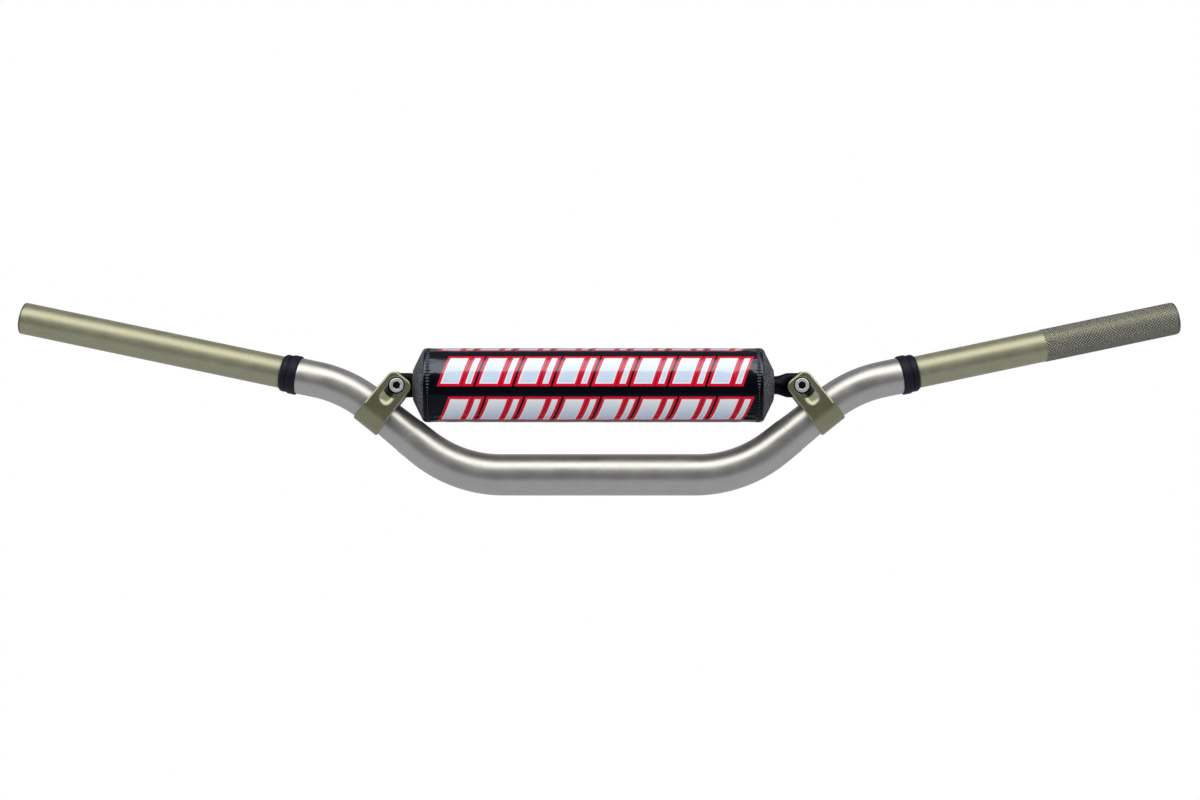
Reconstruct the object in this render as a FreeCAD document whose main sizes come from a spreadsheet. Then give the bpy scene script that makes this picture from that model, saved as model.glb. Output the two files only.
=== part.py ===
import FreeCAD, Part
import Sketcher
import math
import os
from FreeCAD import Vector, Rotation, Placement

# Off-road motorcycle handlebar: a stepped outer tube over a full-length inner
# tube, two clamps, a bolted crossbar and a round foam pad with a sewn cover.
# Frame: origin in the middle of the straight clamping zone, on the tube axis.
# +X to the right of someone facing the front of the bar, +Y back towards the
# rider, +Z up. Millimetres.

doc = FreeCAD.newDocument("handlebar")

# ---------------------------------------------------------------- dimensions
CELLS = [
    # alias, value, meaning
    # tubes
    ("centre_rad", "14.3", "outer tube, radius in the clamping zone"),
    ("centre_half", "67", "half of the straight clamping zone"),
    ("bend_rad", "87.5", "inner bend, centreline radius"),
    ("rise_angle", "38.6", "slope of the rising part, degrees"),
    ("rise_len", "68.2", "end of inner bend to the point where rise and grip lines cross"),
    ("bend_end_rad", "13.5", "outer tube radius where the inner bend ends"),
    ("seam_rad", "13.3", "outer tube radius just before the step"),
    ("step_rad", "13.05", "outer tube radius just after the step"),
    ("seam_at", "13", "end of inner bend to the step"),
    ("neck_rad", "12.5", "outer tube radius from the clamp outwards"),
    ("outer_bore", "11.25", "outer tube bore radius"),
    ("grip_rad", "11.1", "inner tube radius along the grips, 22.2 mm grip size"),
    ("core_rad", "11.05", "inner tube radius inside the collars and the outer tube"),
    ("grip_gap", "0.85", "end of the collar to the start of the grip length"),
    ("groove_rad", "10.8", "run-out groove next to the collar"),
    ("inner_bore", "9", "inner tube bore radius"),
    ("sweep_rad", "85", "outer bend, centreline radius"),
    ("tip_x", "404.5", "middle of the tube end"),
    ("tip_y", "38", "backward sweep of the tube end"),
    ("tip_z", "109.3", "height of the tube end"),
    ("sleeve_end", "34.2", "crossing point to the end of the outer tube"),
    ("tip_round", "0.7", "rounded edge of the tube end"),
    ("joint_gap", "0.05", "clearance between neighbouring pieces"),
    # collars
    ("collar_len", "11.7", "collar length"),
    ("collar_rad", "13.6", "collar big tier"),
    ("collar_low", "12.95", "collar small tier"),
    ("collar_groove", "12.45", "collar groove"),
    ("collar_bore", "11.1", "collar bore"),
    ("collar_tier", "6.2", "length of the big tier"),
    # clamps
    ("clamp_at", "40.7", "end of inner bend to the middle of the clamp"),
    ("clamp_low_half", "10.2", "half width just below the ring"),
    ("clamp_top_half", "9.1", "half width at the top"),
    ("clamp_bore", "12.62", "clamp bore radius"),
    ("clamp_face", "16.5", "outer face of the ears"),
    ("clamp_low", "14.2", "tube axis to the bottom of the ring"),
    ("clamp_top", "29.8", "tube axis to the top of the ears"),
    ("ear_gap", "6", "half of the gap between the ears"),
    ("clamp_corner", "5.4", "rounded top corners"),
    ("clamp_edge", "0.5", "chamfer round the outer faces of the ears"),
    ("mouth_edge", "0.35", "chamfer round the mouth of the counterbore"),
    ("bolt_up", "22.4", "tube axis to the bolt axis"),
    ("head_bore", "5.9", "counterbore radius"),
    ("head_floor", "9.8", "counterbore floor"),
    ("scoop_down", "11.2", "bolt axis to the ball end of the key scoop"),
    ("scoop_rad", "7.2", "scoop radius"),
    ("scoop_rise", "4.9", "scoop axis in front of the ear face"),
    ("bolt_hole", "3.3", "clearance hole radius in the ears"),
    ("nut_floor", "9.2", "nut recess floor"),
    ("nut_recess_af", "10.2", "nut recess across flats"),
    # bolt, washer, nut
    ("head_rad", "5", "bolt head radius"),
    ("head_len", "6", "bolt head height"),
    ("shank_rad", "3", "bolt shank radius"),
    ("shank_len", "25", "bolt length under the head"),
    ("hex_af", "5", "socket across flats"),
    ("hex_deep", "3.2", "socket depth"),
    ("lead_wide", "0.55", "conical lead-in of the socket, beyond the flats"),
    ("lead_deep", "0.45", "depth of the lead-in"),
    ("washer_rad", "5.3", "washer radius"),
    ("washer_bore", "3.2", "washer bore radius"),
    ("washer_len", "0.9", "washer thickness"),
    ("nut_af", "10", "nut across flats"),
    ("nut_len", "5", "nut height"),
    ("nut_bore", "3.05", "nut bore radius over the thread"),
    # crossbar and bushes
    ("bar_rad", "6.35", "crossbar radius"),
    ("bar_bore", "4.35", "crossbar bore radius"),
    ("bar_flare", "122", "where the crossbar starts to flatten"),
    ("bar_flat", "131", "where the flattened end is full"),
    ("bar_height", "17", "height of the flattened end"),
    ("bar_thick", "7", "thickness of the flattened end"),
    ("bar_reach", "9.5", "bolt axis to the end of the flattened part before it is rounded"),
    ("bar_extra", "0.3", "radius of the rounded end beyond half its height"),
    ("bar_slit", "1.8", "slit left of the bore in the flattened end"),
    ("slit_height", "11", "height of the slit"),
    ("bore_short", "4", "end of the full bore to the start of the flattening"),
    ("bore_taper", "10", "length over which the bore closes"),
    ("slit_lap", "2", "overlap of the slit and the closing bore"),
    ("bar_hole", "4.5", "hole for the bushes"),
    ("bush_rad", "7.4", "bush flange radius"),
    ("bush_sleeve", "4.4", "bush sleeve radius"),
    ("bush_bore", "3.2", "bush bore radius"),
    ("bush_flange", "2.35", "bush flange thickness"),
    ("bush_len", "3.3", "bush sleeve length"),
    # pad
    ("pad_shift", "-4.1", "middle of the pad along the crossbar"),
    ("pad_half", "116.75", "half length between the sewn rims"),
    ("pad_rad", "25.7", "pad radius over the cover"),
    ("cover_wall", "1.8", "cover thickness"),
    ("foam_clear", "0.08", "clearance of the foam to the crossbar and the cover"),
    ("cap_deep", "8", "depth of the conical end caps"),
    ("cap_hole", "8.75", "opening in the end caps"),
    ("cap_wall", "1.6", "end cap thickness"),
    ("foam_slit", "1", "slit in the foam core"),
    ("cover_gap", "3", "gap between the two long edges of the cover"),
    ("layer_gap", "0.02", "clearance under each strip and the flap"),
    ("strip_wall", "0.7", "thickness of each strip of the fastener"),
    ("strip_angle", "44", "angle covered by the strips, degrees"),
    ("flap_wall", "1.1", "flap thickness"),
    ("flap_angle", "52", "angle covered by the flap, degrees"),
    ("strip_half", "104", "half length of the strips"),
    ("flap_half", "112", "half length of the flap"),
]
sheet = doc.addObject("Spreadsheet::Sheet", "Dims")
for row, (alias, number, words) in enumerate(CELLS, 1):
    sheet.set(f"A{row}", words)
    sheet.set(f"B{row}", number)
    sheet.setAlias(f"B{row}", alias)
doc.recompute()
D = {alias: float(sheet.get(alias)) for alias, _, _ in CELLS}

BEND_STEPS = 6  # lofted stretches of the outer tube's inner bend
FLARE_STEPS = 8  # lofted stretches where the crossbar flattens
SECTION_POINTS = 32  # points on each crossbar section
FLAT_POWER = 2.6  # superellipse exponent of the flattened end; 2 is an ellipse
BORE_OVER = 2  # how far a bore's tool runs past the tube it cuts
GROOVE_OVER = 0.5  # how far the groove ring's hole runs past the ring
FAR = 30  # a distance beyond either face of the clamp
BAR_CLEAR = 12  # a distance in front of and behind the crossbar
CORNER_BLOCK = (20, 20, 40)  # block holding the corners cut off a crossbar end

SIDES = {"right": 1, "left": -1}
FRONT = Vector(0, -1, 0)
BACK = Vector(0, 1, 0)

# ------------------------------------------------- right half, tube centreline
rise = math.radians(D["rise_angle"])


def on_bend(angle):
    """The point of the inner bend's centreline at this angle from its start."""
    across = D["bend_rad"] * math.sin(angle)
    up = D["bend_rad"] * (1 - math.cos(angle))
    return BEND_START + Vector(across, 0, up)


BEND_START = Vector(D["centre_half"], 0, 0)
BEND_CENTRE = Vector(D["centre_half"], 0, D["bend_rad"])
BEND_END = on_bend(rise)
RISE = Vector(math.cos(rise), 0, math.sin(rise))
UP = Vector(-math.sin(rise), 0, math.cos(rise))
CROSS = BEND_END + RISE * D["rise_len"]
TIP = Vector(D["tip_x"], D["tip_y"], D["tip_z"])
GRIP = (TIP - CROSS).normalize()
SWEEP_ANGLE = RISE.getAngle(GRIP)
tangent = D["sweep_rad"] * math.tan(SWEEP_ANGLE / 2)
SWEEP_START = CROSS - RISE * tangent
SWEEP_END = CROSS + GRIP * tangent
inward = (GRIP - RISE * GRIP.dot(RISE)).normalize()
SWEEP_CENTRE = SWEEP_START + inward * D["sweep_rad"]
SLEEVE_END = CROSS + GRIP * D["sleeve_end"]
COLLAR_START = SLEEVE_END + GRIP * D["joint_gap"]
GRIP_START = COLLAR_START + GRIP * (D["collar_len"] + D["grip_gap"])
CLAMP = BEND_END + RISE * D["clamp_at"]
BOLT = CLAMP + UP * D["bolt_up"]
BAR_MID = Vector(0, 0, BOLT.z)


# ------------------------------------------------------------ general helpers
def linked(expr):
    """The expression with its aliases pointed at the sheet; spaces part its words."""
    words = []
    for word in expr.split():
        name = word.lstrip("-")
        words.append(word.replace(name, f"Dims.{name}") if name in D else word)
    return " ".join(words)


def bind(obj, prop, expr):
    obj.setExpression(prop, linked(expr))


def value(expr):
    """The number a sum of products of aliases and numbers stands for."""
    total = 0.0
    for term in expr.replace("- ", "+ -").split("+"):
        product = 1.0
        for factor in term.split("*"):
            word = factor.strip()
            if word.startswith("-"):
                product = -product
                word = word[1:]
            product *= D[word] if word in D else float(word)
        total += product
    return total


def to_side(vector, sign):
    """The vector itself for +1, its mirror image across the YZ plane for -1."""
    return Vector(sign * vector.x, vector.y, vector.z)


def frame(origin, zdir):
    """Placement at origin with the local Z along zdir."""
    return Placement(origin, Rotation(Vector(0, 0, 1), zdir))


def cylinder(name, radius, start, end, length=None):
    rod = doc.addObject("Part::Cylinder", name)
    bind(rod, "Radius", radius)
    if length:
        bind(rod, "Height", length)
    else:
        rod.Height = (end - start).Length
    rod.Placement = frame(start, (end - start).normalize())
    return rod


def cone(name, start_radius, end_radius, start, end):
    taper = doc.addObject("Part::Cone", name)
    bind(taper, "Radius1", start_radius)
    bind(taper, "Radius2", end_radius)
    taper.Height = (end - start).Length
    taper.Placement = frame(start, (end - start).normalize())
    return taper


def box(name, length, width, height, corner):
    block = doc.addObject("Part::Box", name)
    block.Length, block.Width, block.Height = length, width, height
    block.Placement = Placement(corner, Rotation())
    return block


def fuse(name, shapes, refine=True):
    joined = doc.addObject("Part::MultiFuse", name)
    joined.Shapes = shapes
    joined.Refine = refine
    return joined


def cut(name, base, tool, refine=True):
    rest = doc.addObject("Part::Cut", name)
    rest.Base = base
    rest.Tool = tool
    rest.Refine = refine
    return rest


def mirror_x(name, source):
    image = doc.addObject("Part::Mirroring", name)
    image.Source = source
    image.Normal = Vector(1, 0, 0)
    image.Base = Vector(0, 0, 0)
    return image


def elbow(name, major, minor, centre, start, heading):
    """A torus that leaves start along heading; the caller sets how far it turns."""
    torus = doc.addObject("Part::Torus", name)
    bind(torus, "Radius1", major)
    bind(torus, "Radius2", minor)
    xdir = (start - centre).normalize()
    zdir = xdir.cross(heading)
    torus.Placement = Placement(centre, Rotation(xdir, zdir.cross(xdir), zdir, "ZXY"))
    return torus


def sweep_elbow(name, radius):
    """The outer bend of the centreline, with a round section."""
    torus = elbow(name, "sweep_rad", radius, SWEEP_CENTRE, SWEEP_START, RISE)
    torus.Angle3 = math.degrees(SWEEP_ANGLE)
    return torus


def middle_rod(name, radius):
    return cylinder(name, radius, -BEND_START, BEND_START, "2 * centre_half")


def bent_rod(name, radius, end):
    """A constant rod along the whole centreline, out to end on the grip line."""
    bend = elbow(name + "_bend", "bend_rad", radius, BEND_CENTRE, BEND_START, Vector(1, 0, 0))
    bind(bend, "Angle3", "rise_angle")
    parts = [
        bend,
        cylinder(name + "_rise", radius, BEND_END, SWEEP_START),
        sweep_elbow(name + "_sweep", radius),
        cylinder(name + "_grip", radius, SWEEP_END, end),
    ]
    half = fuse(name + "_half", parts, refine=False)
    middle = middle_rod(name + "_middle", radius)
    return fuse(name, [mirror_x(name + "_other", half), middle, half])


# ------------------------------------------------------------- sketch helpers
def new_body(label):
    return doc.addObject("PartDesign::Body", label)


def sketch(body, name, role, lift=0):
    """A sketch on one of the body's planes, moved by lift along the plane's normal."""
    plane = next(part for part in body.Origin.OriginFeatures if part.Role == role)
    drawing = body.newObject("Sketcher::SketchObject", name)
    drawing.AttachmentSupport = [(plane, "")]
    drawing.MapMode = "FlatFace"
    drawing.AttachmentOffset = Placement(Vector(0, 0, lift), Rotation())
    return drawing


def pin_point(drawing, geo, pos, x, y):
    """Hold one point of the sketch at two expressions."""
    for axis, expr, kind in ((-2, x, "DistanceX"), (-1, y, "DistanceY")):
        number = value(expr)
        if abs(number) < 1e-9:
            drawing.addConstraint(Sketcher.Constraint("PointOnObject", geo, pos, axis))
        else:
            held = drawing.addConstraint(Sketcher.Constraint(kind, -1, 1, geo, pos, number))
            bind(drawing, f"Constraints[{held}]", expr)


def pin_radius(drawing, geo, expr):
    radius = drawing.Geometry[geo].Radius
    held = drawing.addConstraint(Sketcher.Constraint("Radius", geo, radius))
    bind(drawing, f"Constraints[{held}]", expr)


def add_line(drawing, start, end):
    drawing.addGeometry(Part.LineSegment(Vector(*start, 0), Vector(*end, 0)), False)


def polygon(drawing, points):
    """A closed outline whose corners are pairs of expressions."""
    first = drawing.GeometryCount
    spots = [(value(x), value(y)) for x, y in points]
    count = len(points)
    for i in range(count):
        add_line(drawing, spots[i], spots[(i + 1) % count])
    for i in range(count):
        following = first + (i + 1) % count
        drawing.addConstraint(Sketcher.Constraint("Coincident", first + i, 2, following, 1))
    for i, (x, y) in enumerate(points):
        pin_point(drawing, first + i, 1, x, y)


def circle(drawing, x, y, radius):
    ring = Part.Circle(Vector(value(x), value(y), 0), Vector(0, 0, 1), value(radius))
    geo = drawing.addGeometry(ring, False)
    pin_point(drawing, geo, 3, x, y)
    pin_radius(drawing, geo, radius)


def hexagon(drawing, across, middle="0"):
    """A hexagon with level flats, centred on the sketch's Y axis at the height middle."""
    half = f"{across} * 0.5"
    wide = f"{across} * 0.57735027"  # centre to corner
    thin = f"{across} * 0.28867513"  # half a side
    corners = [
        (wide, middle),
        (thin, f"{middle} + {half}"),
        (f"-{thin}", f"{middle} + {half}"),
        (f"-{wide}", middle),
        (f"-{thin}", f"{middle} - {half}"),
        (thin, f"{middle} - {half}"),
    ]
    polygon(drawing, corners)


def spin(body, kind, name, profile):
    """A full Revolution or Groove of the profile about the local Z axis."""
    feature = body.newObject("PartDesign::" + kind, name)
    feature.Profile = profile
    feature.ReferenceAxis = (profile, ["V_Axis"])
    feature.Angle = 360
    doc.recompute()


def extrude(body, kind, name, profile, length, symmetric=False):
    """A Pad or Pocket of the profile."""
    feature = body.newObject("PartDesign::" + kind, name)
    feature.Profile = profile
    if symmetric:
        feature.SideType = "Symmetric"
    feature.Type = "Length"
    bind(feature, "Length", length)
    doc.recompute()


def dress(body, kind, name, prop, size, chosen):
    """A Fillet or Chamfer on the edges whose bounding box passes the test."""
    base = body.Tip
    edges = enumerate(base.Shape.Edges, 1)
    picks = [f"Edge{i}" for i, edge in edges if chosen(edge.BoundBox)]
    feature = body.newObject("PartDesign::" + kind, name)
    feature.Base = (base, picks)
    bind(feature, prop, size)
    doc.recompute()


def turned(label, outline, place=Placement()):
    """A turned piece: an outline of (radius, height) pairs spun about the local Z axis."""
    body = new_body(label)
    profile = sketch(body, label + "_profile", "XZ_Plane")
    polygon(profile, outline)
    spin(body, "Revolution", label + "_turned", profile)
    body.Placement = place
    return body


# ------------------------------------------------------------------ inner tube
def make_inner_tube():
    core = bent_rod("inner_core", "core_rad", TIP)
    land = cylinder("grip_land", "grip_rad", GRIP_START, TIP)
    full = fuse("inner_full", [core, land, mirror_x("grip_land_other", land)])
    # run-out groove between the collar and the grip length
    groove_start = GRIP_START - GRIP * (D["grip_gap"] - D["joint_gap"])
    over = GRIP * GROOVE_OVER
    ring = cut(
        "groove_ring",
        cylinder("groove_ring_out", "grip_rad + 1", groove_start, GRIP_START),
        cylinder("groove_ring_in", "groove_rad", groove_start - over, GRIP_START + over),
    )
    right = cut("inner_right", full, ring)
    rod = cut("inner_rod", right, mirror_x("groove_ring_other", ring))
    hole = bent_rod("inner_hole", "inner_bore", TIP + GRIP * BORE_OVER)
    plain = cut("inner_plain", rod, hole)
    doc.recompute()
    # the four sharp circles at the tube's ends
    end_edges = []
    for i, edge in enumerate(plain.Shape.Edges, 1):
        curve = edge.Curve
        if curve.TypeId != "Part::GeomCircle" or not edge.Closed:
            continue
        if abs(abs(curve.Center.x) - D["tip_x"]) < 0.5:
            end_edges.append((i, D["tip_round"], D["tip_round"]))
    tube = doc.addObject("Part::Fillet", "inner_tube")
    tube.Base = plain
    tube.Edges = end_edges
    return tube


# ------------------------------------------------------------------ outer tube
def make_outer_bend():
    """The inner bend, narrowing from the clamping zone to the rising part."""
    rings = []
    for i in range(BEND_STEPS + 1):
        part = i / BEND_STEPS
        angle = rise * part
        ring = doc.addObject("Part::Circle", f"bend_section_{i}")
        bind(ring, "Radius", f"centre_rad + ( bend_end_rad - centre_rad ) * {part:.8f}")
        ring.Placement = frame(on_bend(angle), Vector(math.cos(angle), 0, math.sin(angle)))
        rings.append(ring)
    loft = doc.addObject("Part::Loft", "outer_bend")
    loft.Sections = rings
    loft.Solid = True
    loft.Ruled = False
    return loft


def make_outer_tube():
    seam = BEND_END + RISE * D["seam_at"]
    neck = BEND_END + RISE * (D["clamp_at"] - D["clamp_low_half"])
    parts = [
        make_outer_bend(),
        cone("outer_taper", "bend_end_rad", "seam_rad", BEND_END, seam),
        cone("outer_waist", "step_rad", "neck_rad", seam, neck),
        cylinder("outer_neck", "neck_rad", neck, SWEEP_START),
        sweep_elbow("outer_sweep", "neck_rad"),
        cylinder("outer_end", "neck_rad", SWEEP_END, SLEEVE_END),
    ]
    half = fuse("outer_half", parts, refine=False)
    middle = middle_rod("outer_middle", "centre_rad")
    skin = fuse("outer_skin", [mirror_x("outer_other", half), middle, half], refine=False)
    hole = bent_rod("outer_hole", "outer_bore", SLEEVE_END + GRIP * BORE_OVER)
    return cut("outer_tube", skin, hole, refine=False)


# --------------------------------------------------------------------- collars
# big tier, groove, small tier; height runs outwards along the grip
COLLAR_OUTLINE = [
    ("collar_bore", "0"),
    ("collar_rad - 0.6", "0"),
    ("collar_rad", "0.6"),
    ("collar_rad", "collar_tier - 0.8"),
    ("collar_rad - 0.5", "collar_tier - 0.1"),
    ("collar_groove", "collar_tier"),
    ("collar_groove", "collar_tier + 0.7"),
    ("collar_low", "collar_tier + 1"),
    ("collar_low", "collar_len - 1.4"),
    ("collar_low - 0.9", "collar_len"),
    ("collar_bore", "collar_len"),
]


def make_collar(side, sign):
    place = frame(to_side(COLLAR_START, sign), to_side(GRIP, sign))
    return turned("collar_" + side, COLLAR_OUTLINE, place)


# ---------------------------------------------------------------------- clamps
# A clamp's local X runs along the tube, local Z from the tube axis to the bolt;
# the bolt head is on the local -Y side.
def draw_clamp_section(drawing):
    """The section across the tube: ring below, two ears above, open bore between them."""
    face, low, top = D["clamp_face"], D["clamp_low"], D["clamp_top"]
    gap, bore = D["ear_gap"], D["clamp_bore"]
    neck = math.sqrt(bore**2 - gap**2)  # height where the bore meets the gap
    # 0: outer arc, stored counter-clockwise from (-face, 0) through the bottom
    outer = Part.Arc(Vector(face, 0, 0), Vector(0, -low, 0), Vector(-face, 0, 0))
    drawing.addGeometry(outer, False)
    # 1 to 3: the ear at negative Y
    add_line(drawing, (-face, 0), (-face, top))
    add_line(drawing, (-face, top), (-gap, top))
    add_line(drawing, (-gap, top), (-gap, neck))
    # 4: bore
    bore_circle = Part.Circle(Vector(0, 0, 0), Vector(0, 0, 1), bore)
    start, end = math.atan2(neck, -gap), math.atan2(neck, gap) + 2 * math.pi
    drawing.addGeometry(Part.ArcOfCircle(bore_circle, start, end), False)
    # 5 to 7: the ear at positive Y
    add_line(drawing, (gap, neck), (gap, top))
    add_line(drawing, (gap, top), (face, top))
    add_line(drawing, (face, top), (face, 0))

    joints = [(0, 1, 1, 1)] + [(i, 2, i + 1, 1) for i in range(1, 7)] + [(7, 2, 0, 2)]
    for joint in joints:
        drawing.addConstraint(Sketcher.Constraint("Coincident", *joint))
    pin_point(drawing, 4, 3, "0", "0")
    pin_radius(drawing, 4, "clamp_bore")
    # geometry, which of its points, where it is held
    pins = [
        (1, 1, "-clamp_face", "0"),
        (7, 2, "clamp_face", "0"),
        (1, 2, "-clamp_face", "clamp_top"),
        (6, 2, "clamp_face", "clamp_top"),
        (2, 2, "-ear_gap", "clamp_top"),
        (5, 2, "ear_gap", "clamp_top"),
    ]
    for pin in pins:
        pin_point(drawing, *pin)
    for line in (3, 5):
        drawing.addConstraint(Sketcher.Constraint("Vertical", line))
    # radius that puts the arc's lowest point clamp_low below the axis
    squares = "clamp_face * clamp_face + clamp_low * clamp_low"
    pin_radius(drawing, 0, f"( {squares} ) / ( 2 * clamp_low )")


def is_top_corner(bounds):
    """Edges along Y at the two upper corners."""
    along_y = bounds.YLength > 5 and bounds.XLength < 0.1 and bounds.ZLength < 0.1
    return along_y and bounds.ZMin > D["clamp_top"] - 0.5 and abs(bounds.XMin) > 5


def is_outer_edge(bounds):
    """Edges of the ears' outer faces and of the ring's outer arc."""
    flat = bounds.YLength < 0.01 and bounds.ZMax > 1
    on_face = flat and abs(abs(bounds.YMin) - D["clamp_face"]) < 0.01
    across = bounds.XLength < 1 and bounds.YLength > 2 * D["clamp_face"] - 0.1
    return on_face or (across and bounds.ZMin < -D["clamp_low"] + 0.1)


def is_mouth_edge(bounds):
    """The counterbore's circle on the front face."""
    flat = bounds.YLength < 0.01 and bounds.ZMax > 5
    on_front = flat and abs(bounds.YMin + D["clamp_face"]) < 0.01
    narrow = max(abs(bounds.XMin), abs(bounds.XMax)) < D["head_bore"] + 0.3
    return on_front and narrow and bounds.ZMin > D["bolt_up"] - D["head_bore"] - 0.1


def make_clamp(side, sign):
    label = "clamp_" + side
    body = new_body(label + "_body")
    section = sketch(body, label + "_section", "YZ_Plane")
    draw_clamp_section(section)
    extrude(body, "Pad", label + "_block", section, "4 * clamp_low_half", symmetric=True)

    # all outside the side outline goes, which leaves the clamp narrower at the top
    outline = sketch(body, label + "_outline", "XZ_Plane")
    polygon(outline, [("-30", "-40"), ("30", "-40"), ("30", "60"), ("-30", "60")])
    tapered = [
        ("-clamp_low_half", "-20"),
        ("clamp_low_half", "-20"),
        ("clamp_top_half", "clamp_top + 5"),
        ("-clamp_top_half", "clamp_top + 5"),
    ]
    polygon(outline, tapered)
    extrude(body, "Pocket", label + "_trim", outline, "80", symmetric=True)

    dress(body, "Fillet", label + "_corners", "Radius", "clamp_corner", is_top_corner)
    dress(body, "Chamfer", label + "_edges", "Size", "clamp_edge", is_outer_edge)

    # The XZ plane's normal points to -Y, so lift FAR starts a pocket in front of the clamp.
    head = sketch(body, label + "_counterbore_outline", "XZ_Plane", FAR)
    circle(head, "0", "bolt_up", "head_bore")
    extrude(body, "Pocket", label + "_counterbore", head, f"{FAR} - head_floor")
    way = sketch(body, label + "_bolt_way_outline", "XZ_Plane", FAR)
    circle(way, "0", "bolt_up", "bolt_hole")
    extrude(body, "Pocket", label + "_bolt_way", way, f"{2 * FAR}")
    recess = sketch(body, label + "_nut_recess_outline", "XZ_Plane", -D["nut_floor"])
    hexagon(recess, "nut_recess_af", "bolt_up")
    extrude(body, "Pocket", label + "_nut_recess", recess, f"{FAR} - nut_floor")
    dress(body, "Chamfer", label + "_mouth", "Size", "mouth_edge", is_mouth_edge)

    along = Vector(RISE.x, 0, sign * RISE.z)
    place = Placement(to_side(CLAMP, sign), Rotation(along, BACK, to_side(UP, sign), "XZY"))
    body.Placement = place

    # shallow ball-ended scoop for the key, running down from the counterbore
    out = -D["clamp_face"] - D["scoop_rise"]
    top = place.multVec(Vector(0, out, D["bolt_up"]))
    low = place.multVec(Vector(0, out, D["bolt_up"] - D["scoop_down"]))
    ball = doc.addObject("Part::Sphere", label + "_ball")
    bind(ball, "Radius", "scoop_rad")
    # turned so that the ball's equator lies in the trough's end circle
    ball.Placement = frame(low, (low - top).normalize())
    trough = cylinder(label + "_trough", "scoop_rad", top, low)
    return cut(label, body, fuse(label + "_scoop", [trough, ball]))


# ------------------------------------------------ bolts, washers, nuts, bushes
# The outlines below are (radius, height) pairs along the bolt axis.
WASHER_OUTLINE = [
    ("washer_bore", "0"),
    ("washer_rad", "0"),
    ("washer_rad", "washer_len"),
    ("washer_bore", "washer_len"),
]
# the underside of the head is at height 0
BOLT_OUTLINE = [
    ("0", "-shank_len"),
    ("shank_rad - 0.6", "-shank_len"),
    ("shank_rad", "-shank_len + 0.6"),
    ("shank_rad", "0"),
    ("head_rad - 0.2", "0"),
    ("head_rad", "0.2"),
    ("head_rad", "head_len - 0.6"),
    ("head_rad - 0.18", "head_len - 0.18"),
    ("head_rad - 0.6", "head_len"),
    ("0", "head_len"),
]
LEAD_OUTLINE = [
    ("0", "head_len - lead_deep"),
    ("hex_af * 0.5", "head_len - lead_deep"),
    ("hex_af * 0.5 + lead_wide", "head_len"),
    ("hex_af * 0.5 + lead_wide", "head_len + 0.5"),
    ("0", "head_len + 0.5"),
]
# what is turned off the nut's corners, at 30 degrees
NUT_CORNER_OUTLINE = [
    ("nut_af * 0.48", "nut_len"),
    ("nut_af * 0.48", "nut_len + 1"),
    ("nut_af * 0.65", "nut_len + 1"),
    ("nut_af * 0.65", "nut_len - 0.98"),
]
# the sleeve below height 0 sits in the crossbar, the flange above it fills the gap to the ear
BUSH_OUTLINE = [
    ("bush_bore", "-bush_len"),
    ("bush_sleeve - 0.2", "-bush_len"),
    ("bush_sleeve", "-bush_len + 0.2"),
    ("bush_sleeve", "0"),
    ("bush_rad - 0.3", "0"),
    ("bush_rad", "0.3"),
    ("bush_rad", "bush_flange - 0.3"),
    ("bush_rad - 0.3", "bush_flange"),
    ("bush_bore", "bush_flange"),
]


def on_bolt_axis(sign, outward, distance):
    """Placement on a bolt axis with local Z along outward and local Y up the clamp."""
    tilt = to_side(UP, sign)
    turn = Rotation(tilt.cross(outward), tilt, outward, "ZYX")
    return Placement(to_side(BOLT, sign) + outward * distance, turn)


def make_washer(side, sign):
    place = on_bolt_axis(sign, FRONT, D["head_floor"])
    return turned("bolt_washer_" + side, WASHER_OUTLINE, place)


def make_bolt(side, sign):
    """Socket-head bolt, its head to the front."""
    label = "clamp_bolt_" + side
    body = turned(label, BOLT_OUTLINE)
    socket = sketch(body, label + "_socket_outline", "XY_Plane", D["head_len"])
    hexagon(socket, "hex_af")
    extrude(body, "Pocket", label + "_socket", socket, "hex_deep")
    # conical lead-in round the socket
    lead = sketch(body, label + "_lead_profile", "XZ_Plane")
    polygon(lead, LEAD_OUTLINE)
    spin(body, "Groove", label + "_lead", lead)
    body.Placement = on_bolt_axis(sign, FRONT, D["head_floor"] + D["washer_len"])
    return body


def make_nut(side, sign):
    """Hexagon nut, seated on the floor of the rear ear's recess."""
    label = "clamp_nut_" + side
    body = new_body(label)
    outline = sketch(body, label + "_outline", "XY_Plane")
    hexagon(outline, "nut_af")
    circle(outline, "0", "0", "nut_bore")
    extrude(body, "Pad", label + "_blank", outline, "nut_len")
    corners = sketch(body, label + "_corner_profile", "XZ_Plane")
    polygon(corners, NUT_CORNER_OUTLINE)
    spin(body, "Groove", label + "_corners", corners)
    body.Placement = on_bolt_axis(sign, BACK, D["nut_floor"])
    return body


def make_bush(where, outward, side, sign):
    place = on_bolt_axis(sign, outward, D["bar_thick"] / 2 + D["joint_gap"])
    return turned(f"bush_{where}_{side}", BUSH_OUTLINE, place)


# -------------------------------------------------------------------- crossbar
def bar_section(name, x, tall, thick, power):
    """A superellipse across the crossbar at x, as one smooth closed curve."""
    points = []
    for i in range(SECTION_POINTS):
        angle = 2 * math.pi * i / SECTION_POINTS
        cosine, sine = math.cos(angle), math.sin(angle)
        y = math.copysign(abs(cosine) ** (2 / power), cosine) * thick / 2
        z = math.copysign(abs(sine) ** (2 / power), sine) * tall / 2
        points.append(Vector(x, y, BOLT.z + z))
    curve = Part.BSplineCurve()
    curve.interpolate(points, PeriodicFlag=True)
    section = doc.addObject("Part::Feature", name)
    section.Shape = Part.Wire([curve.toShape()])
    return section


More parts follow.
